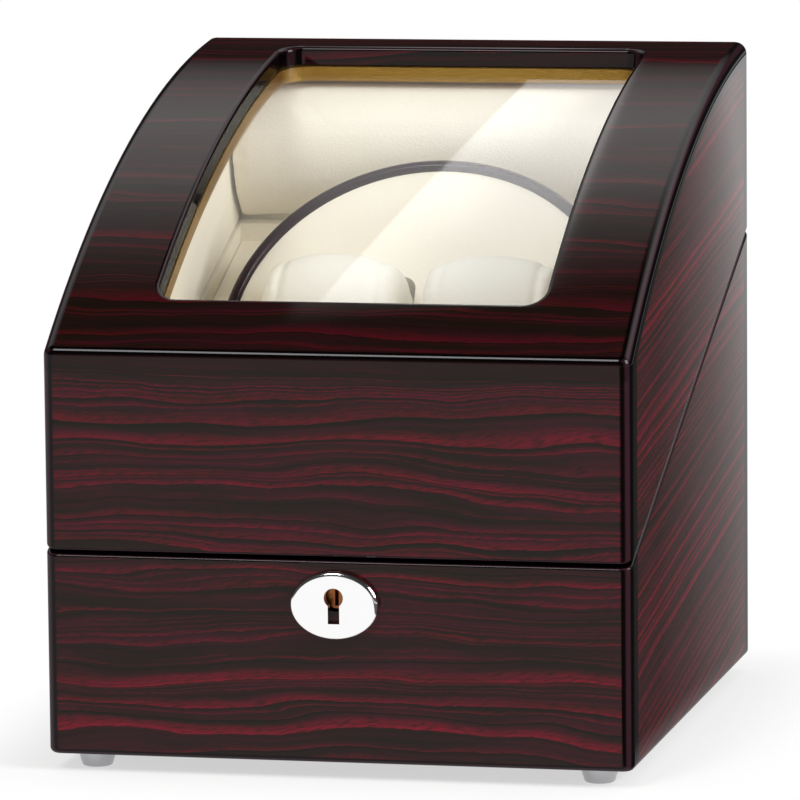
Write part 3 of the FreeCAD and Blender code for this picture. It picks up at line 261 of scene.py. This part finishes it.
def sizes():
    return bpy.context.scene.winder_sizes


# Shader nodes
def new_tree(name):
    """A material with an empty node tree."""
    material = bpy.data.materials.new(name)
    material.use_nodes = True
    material.node_tree.nodes.clear()
    return material, material.node_tree


def add(tree, kind, inputs=None, **settings):
    """A shader node with its settings, and its inputs set or linked."""
    made = tree.nodes.new(kind)
    for key, value in settings.items():
        setattr(made, key, value)
    for key, value in (inputs or {}).items():
        if isinstance(value, bpy.types.NodeSocket):
            tree.links.new(value, made.inputs[key])
        else:
            made.inputs[key].default_value = value
    return made


def math_node(tree, operation, *values, clamp=False):
    inputs = dict(enumerate(values))
    return add(tree, "ShaderNodeMath", inputs, operation=operation, use_clamp=clamp).outputs[0]


def vector_node(tree, operation, *values):
    """A vector made from vectors, or a number for a dot product or a length."""
    made = add(tree, "ShaderNodeVectorMath", dict(enumerate(values)), operation=operation)
    return made.outputs["Value" if operation in ("DOT_PRODUCT", "LENGTH") else "Vector"]


def combined(tree, *values):
    return add(tree, "ShaderNodeCombineXYZ", dict(enumerate(values))).outputs[0]


def separated(tree, vector):
    return add(tree, "ShaderNodeSeparateXYZ", {"Vector": vector}).outputs


def mapped(tree, value, low, high, interpolation="LINEAR", start=0.0):
    """A value mapped from between low and high to between start and 1."""
    inputs = {"Value": value, "From Min": low, "From Max": high, "To Min": start}
    return add(tree, "ShaderNodeMapRange", inputs, interpolation_type=interpolation).outputs[0]


# A mix node has its own sockets for each kind of value, all with the same names
def mix_vectors(tree, share, first, second):
    inputs = {0: share, 4: first, 5: second}
    return add(tree, "ShaderNodeMix", inputs, data_type="VECTOR").outputs[1]


def mix_colours(tree, share, first, second):
    inputs = {0: share, 6: first, 7: second}
    return add(tree, "ShaderNodeMix", inputs, data_type="RGBA").outputs[2]


def mix_shaders(tree, share, first, second):
    inputs = {0: share, 1: first.outputs[0], 2: second.outputs[0]}
    return add(tree, "ShaderNodeMixShader", inputs)


def ramp(tree, value, stops):
    """A grey ramp through pairs of place and level."""
    made = add(tree, "ShaderNodeValToRGB", {0: value})
    elements = made.color_ramp.elements
    while len(elements) < len(stops):
        elements.new(1.0)
    for element, (place, level) in zip(elements, stops):
        element.position = place
        element.color = (level, level, level, 1.0)
    return made.outputs[0]


def noise(tree, vector, lengths, detail=2.0, roughness=0.5):
    """Noise in cells of these lengths along the three axes."""
    counts = tuple(1.0 / length for length in lengths)
    cells = vector_node(tree, "MULTIPLY", vector, counts)
    inputs = {"Vector": cells, "Scale": 1.0, "Detail": detail, "Roughness": roughness}
    return add(tree, "ShaderNodeTexNoise", inputs).outputs[0]


def object_place(tree):
    return add(tree, "ShaderNodeTexCoord").outputs["Object"]


def opaque(colour):
    return (*colour, 1.0)


def surface(tree, **inputs):
    """A principled surface as the material's only shader."""
    named = {key.replace("_", " "): value for key, value in inputs.items()}
    shader = add(tree, "ShaderNodeBsdfPrincipled", named)
    add(tree, "ShaderNodeOutputMaterial", {"Surface": shader.outputs[0]})


def bump(tree, height, strength, distance):
    inputs = {"Height": height, "Strength": strength, "Distance": distance}
    return add(tree, "ShaderNodeBump", inputs).outputs[0]


# Finishes
def flatness(tree, normal, place, face):
    """How squarely a spot faces out of its board: 1 on the face, less on its rounded edges.

    A board without a face is the curved top, which faces out along the arm of its arc.
    """
    if face is None:
        arm = vector_node(tree, "SUBTRACT", place, tuple(LID_ARC_CENTRE))
        arm = vector_node(tree, "MULTIPLY", arm, tuple(FRONT_TO_BACK + UPWARD))
        outward = vector_node(tree, "NORMALIZE", arm)
    else:
        outward = tuple(face)
    return math_node(tree, "ABSOLUTE", vector_node(tree, "DOT_PRODUCT", normal, outward))


def streaks(tree, along, level, spacing, kind, boost):
    """Streaks that are sharp below and fade upwards, each with a strength and width of its own."""
    stretch, seed = kind
    rings = math_node(tree, "DIVIDE", level, spacing)
    ring = math_node(tree, "FRACT", rings)
    number = math_node(tree, "ADD", math_node(tree, "FLOOR", rings), seed)
    luck = add(tree, "ShaderNodeTexWhiteNoise", {"W": number}, noise_dimensions="1D").outputs[0]
    run = combined(tree, along, math_node(tree, "MULTIPLY", number, STREAK_SEPARATION))
    change = noise(tree, run, (stretch, 1.0, 1.0), detail=2.5, roughness=0.55)
    strength = math_node(tree, "MULTIPLY_ADD", luck, LUCK_GAIN, boost - STREAK_THRESHOLD)
    strength = math_node(tree, "MULTIPLY_ADD", change, CHANGE_GAIN, strength)
    strength = math_node(tree, "MAXIMUM", strength, 0.0)
    width = math_node(tree, "MULTIPLY_ADD", luck, *STREAK_WIDTH)
    fade = math_node(tree, "SUBTRACT", 1.0, math_node(tree, "DIVIDE", ring, width), clamp=True)
    red = math_node(tree, "MULTIPLY", fade, strength, clamp=True)
    gap = ramp(tree, ring, STREAK_GAP_LEVELS)
    dark = math_node(tree, "MULTIPLY", gap, math_node(tree, "MULTIPLY_ADD", luck, *STREAK_LINE))
    return red, dark


def grain_place(tree, place, along, across, shift):
    """A place counted along the grain, across it and through the board."""
    run, level, depth = (
        vector_node(tree, "DOT_PRODUCT", place, tuple(axis))
        for axis in (along, across, along.cross(across))
    )
    return combined(tree, run, math_node(tree, "ADD", level, shift), depth)


def waved_level(tree, heights, level, wave):
    """A level across the grain, moved by the grain's waves."""
    length = sizes().wave_length
    height = wave * sizes().wave_height
    for stretch, spread, share in GRAIN_WAVES:
        ripple = noise(tree, heights, (stretch * length, spread, GRAIN_DEPTH), detail=1.0)
        swing = share * height
        move = math_node(tree, "MULTIPLY_ADD", ripple, 2 * swing, -swing)
        level = math_node(tree, "ADD", level, move)
    return level


def grain_colour(tree, heights, wave, closeness, boost, contrast):
    """The wood's colour: a dark ground with warmer parts, red streaks and thin dark lines."""
    run, flat_level, depth = separated(tree, heights)
    level = waved_level(tree, heights, flat_level, wave)
    waved = combined(tree, run, level, depth)
    crowd = noise(tree, waved, CROWD_CELL, detail=1.0)
    crowded = math_node(tree, "MULTIPLY_ADD", crowd, CROWD_SHIFT, level)
    broad_spacing = closeness * sizes().streak_spacing
    broad, broad_dark = streaks(tree, run, crowded, broad_spacing, BROAD_STREAKS, boost)
    thin_spacing = closeness * sizes().line_spacing
    thin, thin_dark = streaks(tree, run, crowded, thin_spacing, THIN_STREAKS, boost)
    fibre = noise(tree, waved, FIBRE_CELL, detail=3.0, roughness=0.65)
    slant = math_node(tree, "MULTIPLY_ADD", run, FLECK_SLANT, level)
    fleck = noise(tree, combined(tree, run, slant, depth), FLECK_CELL, roughness=0.6)
    red = math_node(tree, "MAXIMUM", broad, math_node(tree, "MULTIPLY", thin, THIN_RED_SHARE))
    red = math_node(tree, "MULTIPLY", red, ramp(tree, fibre, FIBRE_LEVELS))
    red = math_node(tree, "MULTIPLY", red, ramp(tree, fleck, [(0.34, 0.42), (0.60, contrast)]))
    warmth = ramp(tree, noise(tree, waved, WARMTH_CELL), WARMTH_LEVELS)
    warmth = math_node(tree, "MULTIPLY", warmth, contrast)
    wood = mix_colours(tree, warmth, opaque(colours().veneer_ground), opaque(colours().veneer_plum))
    wood = mix_colours(tree, red, wood, opaque(colours().veneer_red))
    dark = math_node(tree, "MAXIMUM", broad_dark, math_node(tree, "MULTIPLY", thin_dark, THIN_DARK_SHARE))
    dark = math_node(tree, "MAXIMUM", dark, ramp(tree, fleck, FLECK_DARK_LEVELS))
    dark = math_node(tree, "MULTIPLY", dark, contrast)
    return mix_colours(tree, dark, wood, opaque(colours().veneer_black))


def veneer(name, along, across, shift, face, wave=1.0, closeness=1.0, boost=0.0, contrast=1.0,
           apron=None, painted_shade_tone=1.0, lined=False):
    """Wavy red-streaked veneer under gloss lacquer, with painted shade and dark reflection where the board
    turns at its edges, and a paler painted reflection line along them.

    An apron is the shift of the front board's veneer, which a curved board's upright front edge shows too.
    A tone below 1 darkens the whole board as painted shade. A lined board has the lining's colour on the
    side that faces in.
    """
    material, tree = new_tree(name)
    spot = add(tree, "ShaderNodeTexCoord")
    place = spot.outputs["Object"]
    normal = spot.outputs["Normal"]
    facing = flatness(tree, normal, place, face)
    heights = grain_place(tree, place, along, across, shift)
    if apron is not None:
        forward = flatness(tree, normal, place, FRONT_TO_BACK)
        front = grain_place(tree, place, along, UPWARD, apron)
        heights = mix_vectors(tree, ramp(tree, forward, UPRIGHT_LEVELS), heights, front)
        facing = math_node(tree, "MAXIMUM", facing, forward)
    wood = grain_colour(tree, heights, wave, closeness, boost, contrast)
    # Painted shade and dark reflection over the rounded edges, with a paler painted reflection line along
    # them
    line = ramp(tree, facing, PAINTED_REFLECTION_LINE_LEVELS)
    edge = mix_colours(tree, line, opaque(colours().painted_edge_shade), opaque(colours().painted_edge_reflection))
    wood = mix_colours(tree, ramp(tree, facing, PAINTED_EDGE_SHADE_LEVELS), wood, edge)
    # Painted shade: the tone darkens the whole board
    wood = mix_colours(tree, painted_shade_tone, BLACK, wood)
    coat = LACQUER_WEIGHT
    if lined:
        outward = separated(tree, vector_node(tree, "MULTIPLY", normal, place))["Y"]
        inside = math_node(tree, "LESS_THAN", outward, INNER_FACE)
        wood = mix_colours(tree, inside, wood, opaque(colours().cream))
        coat = math_node(tree, "MULTIPLY_ADD", inside, -LACQUER_WEIGHT, LACQUER_WEIGHT)
    surface(
        tree, Base_Color=wood, Roughness=0.45, Specular_IOR_Level=0.0,
        Coat_Weight=coat, Coat_Roughness=0.03, Coat_IOR=1.5,
    )
    return material


def clouded(tree, place, colour, size, detail, darkest):
    """A colour that darkens a little in soft clouds."""
    cloud = noise(tree, place, (size, size, size), detail)
    shade = ramp(tree, cloud, [(0.3, darkest), (0.7, 1.0)])
    return mix_colours(tree, shade, BLACK, opaque(colour))


def leather(name, colour, roughness=0.55):
    """Fine-grained leather cloth."""
    material, tree = new_tree(name)
    place = object_place(tree)
    scale = 1.0 / sizes().leather_grain
    pebbles = add(tree, "ShaderNodeTexVoronoi", {"Vector": place, "Scale": scale}).outputs["Distance"]
    crease = noise(tree, place, (0.004, 0.004, 0.004), detail=4.0, roughness=0.6)
    height = math_node(tree, "MULTIPLY_ADD", crease, 0.6, pebbles)
    tinted = clouded(tree, place, colour, size=0.035, detail=3.0, darkest=0.95)
    surface(
        tree, Base_Color=tinted, Roughness=roughness, Specular_IOR_Level=0.35,
        Normal=bump(tree, height, strength=0.18, distance=0.00025),
    )
    return material


def clear_acrylic(name):
    """Clear pane that lets lamps light what is behind it."""
    material, tree = new_tree(name)
    inputs = {
        "Base Color": (0.99, 0.995, 1.0, 1.0), "Roughness": 0.0, "IOR": 1.15, "Transmission Weight": 1.0
    }
    glass = add(tree, "ShaderNodeBsdfPrincipled", inputs)
    clear = add(tree, "ShaderNodeBsdfTransparent", {"Color": (0.96, 0.97, 0.97, 1.0)})
    path = add(tree, "ShaderNodeLightPath").outputs
    lamp_ray = math_node(tree, "MAXIMUM", path["Is Shadow Ray"], path["Is Diffuse Ray"])
    mixed = mix_shaders(tree, lamp_ray, glass, clear)
    add(tree, "ShaderNodeOutputMaterial", {"Surface": mixed.outputs[0]})
    return material


def metal(name, colour, roughness, brush=(0.02, 0.02, 0.02), wear=0.12, painted_side_shade=None):
    """Bare or plated metal whose polish changes a little over its surface.

    A side colour is a painted shade on the faces that are turned to the left or right.
    """
    material, tree = new_tree(name)
    spot = add(tree, "ShaderNodeTexCoord")
    place = spot.outputs["Object"]
    tint = opaque(colour)
    # Painted shade on the faces turned to the left or right
    if painted_side_shade is not None:
        sideways = flatness(tree, spot.outputs["Normal"], place, LEFT_TO_RIGHT)
        turned = ramp(tree, sideways, PAINTED_SIDE_SHADE_LEVELS)
        tint = mix_colours(tree, turned, tint, opaque(painted_side_shade))
    polish = noise(tree, place, brush, detail=4.0, roughness=0.6)
    rough = math_node(tree, "MULTIPLY_ADD", polish, wear, roughness - wear / 2)
    surface(tree, Base_Color=tint, Metallic=1.0, Roughness=rough)
    return material


def plastic(name, colour, roughness, grain, depth, shine=0.5):
    """Moulded plastic with a fine texture."""
    material, tree = new_tree(name)
    place = object_place(tree)
    texture = noise(tree, place, (grain, grain, grain), detail=3.0)
    tinted = clouded(tree, place, colour, size=0.02, detail=2.0, darkest=0.9)
    surface(
        tree, Base_Color=tinted, Roughness=roughness, Specular_IOR_Level=shine,
        Normal=bump(tree, texture, strength=0.3, distance=depth),
    )
    return material


def dress(names, material):
    """Gives CAD nodes a finish."""
    for name in names:
        NODES[name].data.materials.clear()
        NODES[name].data.materials.append(material)


class WINDER_OT_veneer_case(Operator):
    """Lay veneer on the boards of the base and the lid"""
    bl_idname = "winder.veneer_case"
    bl_label = "Veneer the case"

    def execute(self, context):
        lid_shift = 0.31
        for part, shift in (("base", 0.0), ("lid", lid_shift)):
            ends = veneer(f"veneer_{part}", LEFT_TO_RIGHT, UPWARD, shift, FRONT_TO_BACK, lined=True)
            dress([f"{part}_front_board", f"{part}_back_board"], ends)
        rise = math.radians(7.5)
        side_grain = Vector((0, math.cos(rise), math.sin(rise)))
        side_across = Vector((0, -math.sin(rise), math.cos(rise)))
        for hand, shift in (("left", 0.73), ("right", 1.21)):
            side = veneer(
                f"veneer_{hand}", side_grain, side_across, shift, LEFT_TO_RIGHT,
                wave=0.18, closeness=0.62, boost=0.42, contrast=0.7,
            )
            dress([f"base_{hand}_board", f"lid_{hand}_board"], side)
        slope = math.radians(21.0)
        top_across = Vector((0, math.cos(slope), math.sin(slope)))
        # The top board is darkened by its tone as painted shade
        top = veneer(
            "veneer_top", LEFT_TO_RIGHT, top_across, shift=1.77, face=None, boost=-0.08,
            contrast=0.55, apron=lid_shift, painted_shade_tone=0.72,
        )
        dress(["lid_top_board"], top)
        floor = veneer("veneer_floor", LEFT_TO_RIGHT, FRONT_TO_BACK, shift=2.3, face=UPWARD)
        dress(["base_floor_board"], floor)
        return {"FINISHED"}


class WINDER_OT_glaze_window(Operator):
    """Fit the clear pane and its gold strip"""
    bl_idname = "winder.glaze_window"
    bl_label = "Glaze the window"

    def execute(self, context):
        dress(["window_pane"], clear_acrylic("clear_acrylic"))
        brush = (0.03, 0.0006, 0.0006)
        # The strip's sides get a darker gold as painted shade
        strip = metal("gold_strip", colours().gold, 0.42, brush, painted_side_shade=colours().gold_painted_shade)
        dress(["window_frame"], strip)
        return {"FINISHED"}


class WINDER_OT_line_inside(Operator):
    """Line the base and the lid with leather cloth"""
    bl_idname = "winder.line_inside"
    bl_label = "Line the inside"

    def execute(self, context):
        cloth = leather("cream_leather", colours().cream)
        linings = [name for name in NODES if "lining" in name]
        trays = ["floor_pad", "storage_dividers", "tray_back_wall", "tray_shelf", "turntable_panel"]
        dress(linings + trays + ["motor_bay_cover", "turntable_disc"], cloth)
        return {"FINISHED"}


# Soft pieces
def make_active(piece):
    bpy.ops.object.select_all(action="DESELECT")
    piece.select_set(True)
    bpy.context.view_layer.objects.active = piece


def resize_about(piece, centre, factors):
    make_active(piece)
    bpy.ops.object.mode_set(mode="EDIT")
    bpy.ops.mesh.select_all(action="SELECT")
    bpy.ops.transform.resize(value=factors, center_override=centre)
    bpy.ops.object.mode_set(mode="OBJECT")


def applied(piece, kind, **settings):
    """Adds a modifier with its settings and applies it."""
    make_active(piece)
    modifier = piece.modifiers.new(kind.lower(), kind)
    for key, value in settings.items():
        setattr(modifier, key, value)
    bpy.ops.object.modifier_apply(modifier=modifier.name)


def swell(piece, reach):
    """Fills a piece as cloth under pressure and holds each point within a reach of where it was."""
    scene = bpy.context.scene
    before = [vertex.co.copy() for vertex in piece.data.vertices]
    make_active(piece)
    cloth = piece.modifiers.new("cloth", "CLOTH")
    cloth.settings.use_pressure = True
    cloth.settings.uniform_pressure_force = sizes().pressure
    cloth.settings.effector_weights.gravity = 0.0
    cloth.collision_settings.use_collision = False
    for step in range(1, CLOTH_FRAMES + 1):
        scene.frame_set(step)
    bpy.ops.object.modifier_apply(modifier=cloth.name)
    for vertex, start in zip(piece.data.vertices, before):
        move = vertex.co - start
        if move.length > reach:
            vertex.co = start + move.normalized() * reach
    scene.frame_set(1)


def sew(piece, centre, offset):
    """Sinks a seam round a pillow at an offset to each side of its middle."""
    depth = sizes().seam_depth
    width = sizes().seam_width
    for vertex in piece.data.vertices:
        gap = abs(abs(vertex.co.x - centre.x) - offset) / width
        if gap < SEAM_REACH:
            vertex.co -= vertex.normal * depth * math.exp(-gap * gap)


def stuffed(name, node, trim, voxel, reach, rounds=3, seam=None):
    """A padded piece in place of a soft node, started a little smaller and swelled to fill it."""
    low, high = (Vector(corner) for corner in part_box(node))
    centre = (low + high) / 2
    shrink = tuple(1 - 2 * trim / side for side in high - low)
    piece = bpy.data.objects.new(name, NODES[node].data.copy())
    bpy.context.collection.objects.link(piece)
    make_active(piece)
    bpy.ops.object.mode_set(mode="EDIT")
    bpy.ops.mesh.select_all(action="SELECT")
    bpy.ops.mesh.remove_doubles(threshold=0.00001)
    bpy.ops.mesh.normals_make_consistent(inside=False)
    bpy.ops.object.mode_set(mode="OBJECT")
    resize_about(piece, centre, tuple(CLOTH_SCALE * share for share in shrink))
    applied(piece, "REMESH", mode="VOXEL", voxel_size=CLOTH_SCALE * voxel)
    swell(piece, CLOTH_SCALE * reach)
    resize_about(piece, centre, (1 / CLOTH_SCALE, 1 / CLOTH_SCALE, 1 / CLOTH_SCALE))
    applied(piece, "SMOOTH", factor=0.5, iterations=rounds)
    if seam:
        sew(piece, centre, seam)
    applied(piece, "SUBSURF", levels=1, render_levels=1)
    bpy.ops.object.shade_smooth()
    return piece


def settle(piece, node, material):
    """Puts a padded piece in its node's place, on its body and in its finish."""
    piece.data.materials.clear()
    piece.data.materials.append(material)
    record = frame["record"]
    body = next(name for name, nodes in record["behaviour"]["bodies"].items() if node in nodes)
    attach(piece, body)
    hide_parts(node)


def copied(piece, name, node, from_node):
    """A copy of a padded piece at another node of the same shape."""
    make_active(piece)
    bpy.ops.object.duplicate()
    copy = bpy.context.object
    copy.name = name
    shift = Vector(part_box(node)[0]) - Vector(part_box(from_node)[0])
    bpy.ops.object.mode_set(mode="EDIT")
    bpy.ops.mesh.select_all(action="SELECT")
    bpy.ops.transform.translate(value=shift)
    bpy.ops.object.mode_set(mode="OBJECT")
    return copy


class WINDER_OT_stuff_pillows(Operator):
    """Stuff the watch pillows of the turntable and of the storage row"""
    bl_idname = "winder.stuff_pillows"
    bl_label = "Stuff the pillows"

    def execute(self, context):
        cloth = leather("pillow_leather", colours().pillow, roughness=0.6)
        for first, others in PILLOW_ROWS.items():
            pillow = stuffed(
                f"{first}_stuffed", first, trim=0.0011, voxel=0.0016, reach=0.0013, seam=sizes().seam_offset
            )
            for node in others:
                settle(copied(pillow, f"{node}_stuffed", node, first), node, cloth)
            settle(pillow, first, cloth)
        return {"FINISHED"}


class WINDER_OT_pad_lid(Operator):
    """Pad the back of the lid"""
    bl_idname = "winder.pad_lid"
    bl_label = "Pad the lid"

    def execute(self, context):
        pad = stuffed(
            "lid_back_padding", "lid_back_pad", trim=0.0001, voxel=0.0015, reach=0.0009, rounds=1
        )
        settle(pad, "lid_back_pad", bpy.data.materials["cream_leather"])
        return {"FINISHED"}


class WINDER_OT_finish_metal(Operator):
    """Finish the lock, hinges, drive, controls and feet"""
    bl_idname = "winder.finish_metal"
    bl_label = "Finish the fittings"

    def execute(self, context):
        tints = colours()
        dress(["escutcheon"], metal("chrome_plate", tints.chrome, roughness=0.10, wear=0.04))
        dress(["lock_plug"], metal("copper_plug", tints.copper, roughness=0.30))
        dress(["feet"], metal("silver_feet", tints.silver, roughness=0.22))
        dress(
            ["base_hinge_leaves", "lid_hinge_leaves", "hinge_pins", "turntable_bush"],
            metal("brass_fittings", tints.brass, roughness=0.26),
        )
        dress(
            ["base_screws", "lid_screws", "lock_case", "lock_bolt", "lock_strike", "turntable_shaft",
             "retaining_clip", "motor_bracket", "gearbox", "motor", "output_shaft"],
            metal("turned_steel", tints.steel, roughness=0.32),
        )
        rim = plastic("ebony_gloss", tints.ebony, roughness=0.22, grain=0.004, depth=0.00002, shine=0.2)
        dress(["turntable_rim"], rim)
        gears = plastic("nylon", tints.nylon, roughness=0.45, grain=0.0012, depth=0.00005)
        dress(["drive_gear", "pinion"], gears)
        dress(
            ["control_cup", "control_switches", "power_inlet", "mode_knob", "turns_knob"],
            plastic("black_plastic", tints.black_plastic, roughness=0.42, grain=0.0004, depth=0.00004),
        )
        board = plastic("circuit_board", tints.circuit, roughness=0.35, grain=0.002, depth=0.00002)
        dress(["control_board"], board)
        return {"FINISHED"}


class WINDER_OT_set_stage(Operator):
    """Set the floor, the lamps, the surroundings and the camera"""
    bl_idname = "winder.set_stage"
    bl_label = "Set the stage"

    def execute(self, context):
        stage = context.scene.winder_stage
        lay_floor(stage)
        light_surroundings(stage)
        hang_lamp(
            "key_lamp", place=(-0.45, -1.35, 1.55), target=(0.0, 0.0, 0.12), size=0.5, power=stage.key
        )
        hang_lamp(
            "fill_lamp", place=(1.5, -0.5, 0.95), target=(0.0, 0.0, 0.14), size=0.8, power=stage.fill
        )
        aim_camera(stage)
        context.scene.view_settings.view_transform = "Standard"
        return {"FINISHED"}


def lay_floor(stage):
    """A pale floor that keeps the box's shadow, and that the box's right side mirrors in a soft shade."""
    bpy.ops.object.select_all(action="DESELECT")
    bpy.ops.mesh.primitive_circle_add(vertices=96, radius=stage.floor_radius, fill_type="NGON")
    floor = bpy.context.object
    floor.name = "floor"
    material, tree = new_tree("pale_floor")
    place = object_place(tree)
    out = vector_node(tree, "SUBTRACT", vector_node(tree, "ABSOLUTE", place), CASE_HALF)
    distance = vector_node(tree, "LENGTH", vector_node(tree, "MAXIMUM", out, (0.0, 0.0, 0.0)))
    far = mapped(tree, distance, 0.0, FLOOR_BORDER, "SMOOTHSTEP", FLOOR_WHITE_AT_CASE)
    mirrored, shade = mirrored_shade(tree, place)
    level = mix_colours(tree, mirrored, WHITE, shade)
    pale = mix_colours(tree, FLOOR_GREY, level, BLACK)
    matt = add(tree, "ShaderNodeBsdfDiffuse", {"Color": pale})
    white = add(tree, "ShaderNodeEmission", {"Color": level, "Strength": 1.0})
    mixed = mix_shaders(tree, far, matt, white)
    add(tree, "ShaderNodeOutputMaterial", {"Surface": mixed.outputs[0]})
    floor.data.materials.append(material)


def mirrored_shade(tree, place):
    """Where the right side mirrors the floor, as a mask, and the shade that it mirrors there."""
    x, y, z = separated(tree, place)
    out_right = math_node(tree, "SUBTRACT", x, CAD_HIGH[0])
    slip = math_node(tree, "MULTIPLY_ADD", out_right, SIDE_SLANT, y)
    shade = ramp(tree, mapped(tree, slip, SIDE_FRONT, SIDE_BACK), SIDE_LEVELS)
    shade = math_node(tree, "MULTIPLY", shade, SIDE_BRIGHTEST)
    beside = mapped(tree, out_right, 0.0, SIDE_SOFT_EDGE, "SMOOTHSTEP")
    glossy = add(tree, "ShaderNodeLightPath").outputs["Is Glossy Ray"]
    return math_node(tree, "MULTIPLY", glossy, beside), shade


def past(tree, value, base, line):
    """1 past a line and 0 before it, over a narrow step."""
    edge = math_node(tree, "MULTIPLY_ADD", base, *line)
    beyond = math_node(tree, "SUBTRACT", value, edge)
    return math_node(tree, "MULTIPLY", beyond, GLARE_SHARPNESS, clamp=True)


def light_surroundings(stage):
    """Even light on matt surfaces, and a white horizon and two soft boxes high behind in glossy ones."""
    world = bpy.data.worlds.new("studio")
    bpy.context.scene.world = world
    world.use_nodes = True
    tree = world.node_tree
    tree.nodes.clear()
    path = add(tree, "ShaderNodeLightPath").outputs
    x, y, rise = separated(tree, add(tree, "ShaderNodeTexCoord").outputs["Generated"])
    behind = mapped(tree, y, 0.0, BACK_BOX_EDGE)
    box = math_node(tree, "MULTIPLY", ramp(tree, rise, BACK_BOX_LEVELS), behind)
    horizon = ramp(tree, rise, HORIZON_LEVELS)
    level = math_node(tree, "MULTIPLY_ADD", box, stage.back_box, horizon)
    inside = math_node(tree, "SUBTRACT", past(tree, x, y, GLARE_LEFT), past(tree, x, y, GLARE_RIGHT))
    glare = math_node(tree, "MULTIPLY", ramp(tree, rise, GLARE_LEVELS), behind)
    glare = math_node(tree, "MULTIPLY", inside, glare)
    level = math_node(tree, "MULTIPLY_ADD", glare, stage.glare, level)
    seen = add(tree, "ShaderNodeBackground", {"Color": WHITE, "Strength": 1.0})
    mirrored = add(tree, "ShaderNodeBackground", {"Color": level, "Strength": 1.0})
    warm_white = (1.0, 0.995, 0.985, 1.0)
    even = add(tree, "ShaderNodeBackground", {"Color": warm_white, "Strength": stage.sky})
    shine = math_node(tree, "MAXIMUM", path["Is Glossy Ray"], path["Is Transmission Ray"])
    unseen = mix_shaders(tree, shine, even, mirrored)
    both = mix_shaders(tree, path["Is Camera Ray"], unseen, seen)
    add(tree, "ShaderNodeOutputWorld", {"Surface": both.outputs[0]})


def hang_lamp(name, place, target, size, power):
    bpy.ops.object.light_add(type="AREA", location=place)
    lamp = bpy.context.object
    lamp.name = name
    lamp.data.size = size
    lamp.data.energy = power
    lamp.rotation_euler = (Vector(place) - Vector(target)).to_track_quat("Z", "Y").to_euler()


def aim_camera(stage):
    turn = Matrix.Rotation(stage.azimuth, 4, "Z")
    tilt = Matrix.Rotation(math.pi / 2 - stage.elevation, 4, "X")
    roll = Matrix.Rotation(stage.roll, 4, "Z")
    bpy.ops.object.camera_add()
    camera = bpy.context.object
    camera.name = "photo_camera"
    camera.data.lens = stage.lens
    camera.data.sensor_width = 36.0
    camera.data.clip_start = 0.05
    camera.matrix_world = Matrix.Translation(stage.camera_place) @ turn @ tilt @ roll
    bpy.context.scene.camera = camera


STEPS = (
    WINDER_OT_veneer_case,
    WINDER_OT_glaze_window,
    WINDER_OT_line_inside,
    WINDER_OT_stuff_pillows,
    WINDER_OT_pad_lid,
    WINDER_OT_finish_metal,
    WINDER_OT_set_stage,
)


class WINDER_PT_steps(Panel):
    """Steps that finish the box"""
    bl_label = "Watch winder box"
    bl_space_type = "VIEW_3D"
    bl_region_type = "UI"
    bl_category = "Winder"

    def draw(self, context):
        for step in STEPS:
            self.layout.operator(step.bl_idname)


GROUPS = {"winder_colours": WinderColours, "winder_sizes": WinderSizes, "winder_stage": WinderStage}


def register():
    for group in (*GROUPS.values(), *STEPS, WINDER_PT_steps):
        bpy.utils.register_class(group)
    for name, group in GROUPS.items():
        setattr(bpy.types.Scene, name, PointerProperty(type=group))


def unregister():
    for name in GROUPS:
        delattr(bpy.types.Scene, name)
    for group in reversed((*GROUPS.values(), *STEPS, WINDER_PT_steps)):
        bpy.utils.unregister_class(group)


def main():
    register()
    bpy.ops.winder.veneer_case()
    bpy.ops.winder.glaze_window()
    bpy.ops.winder.line_inside()
    bpy.ops.winder.stuff_pillows()
    bpy.ops.winder.pad_lid()
    bpy.ops.winder.finish_metal()
    bpy.ops.winder.set_stage()


if __name__ == "__main__":
    main()
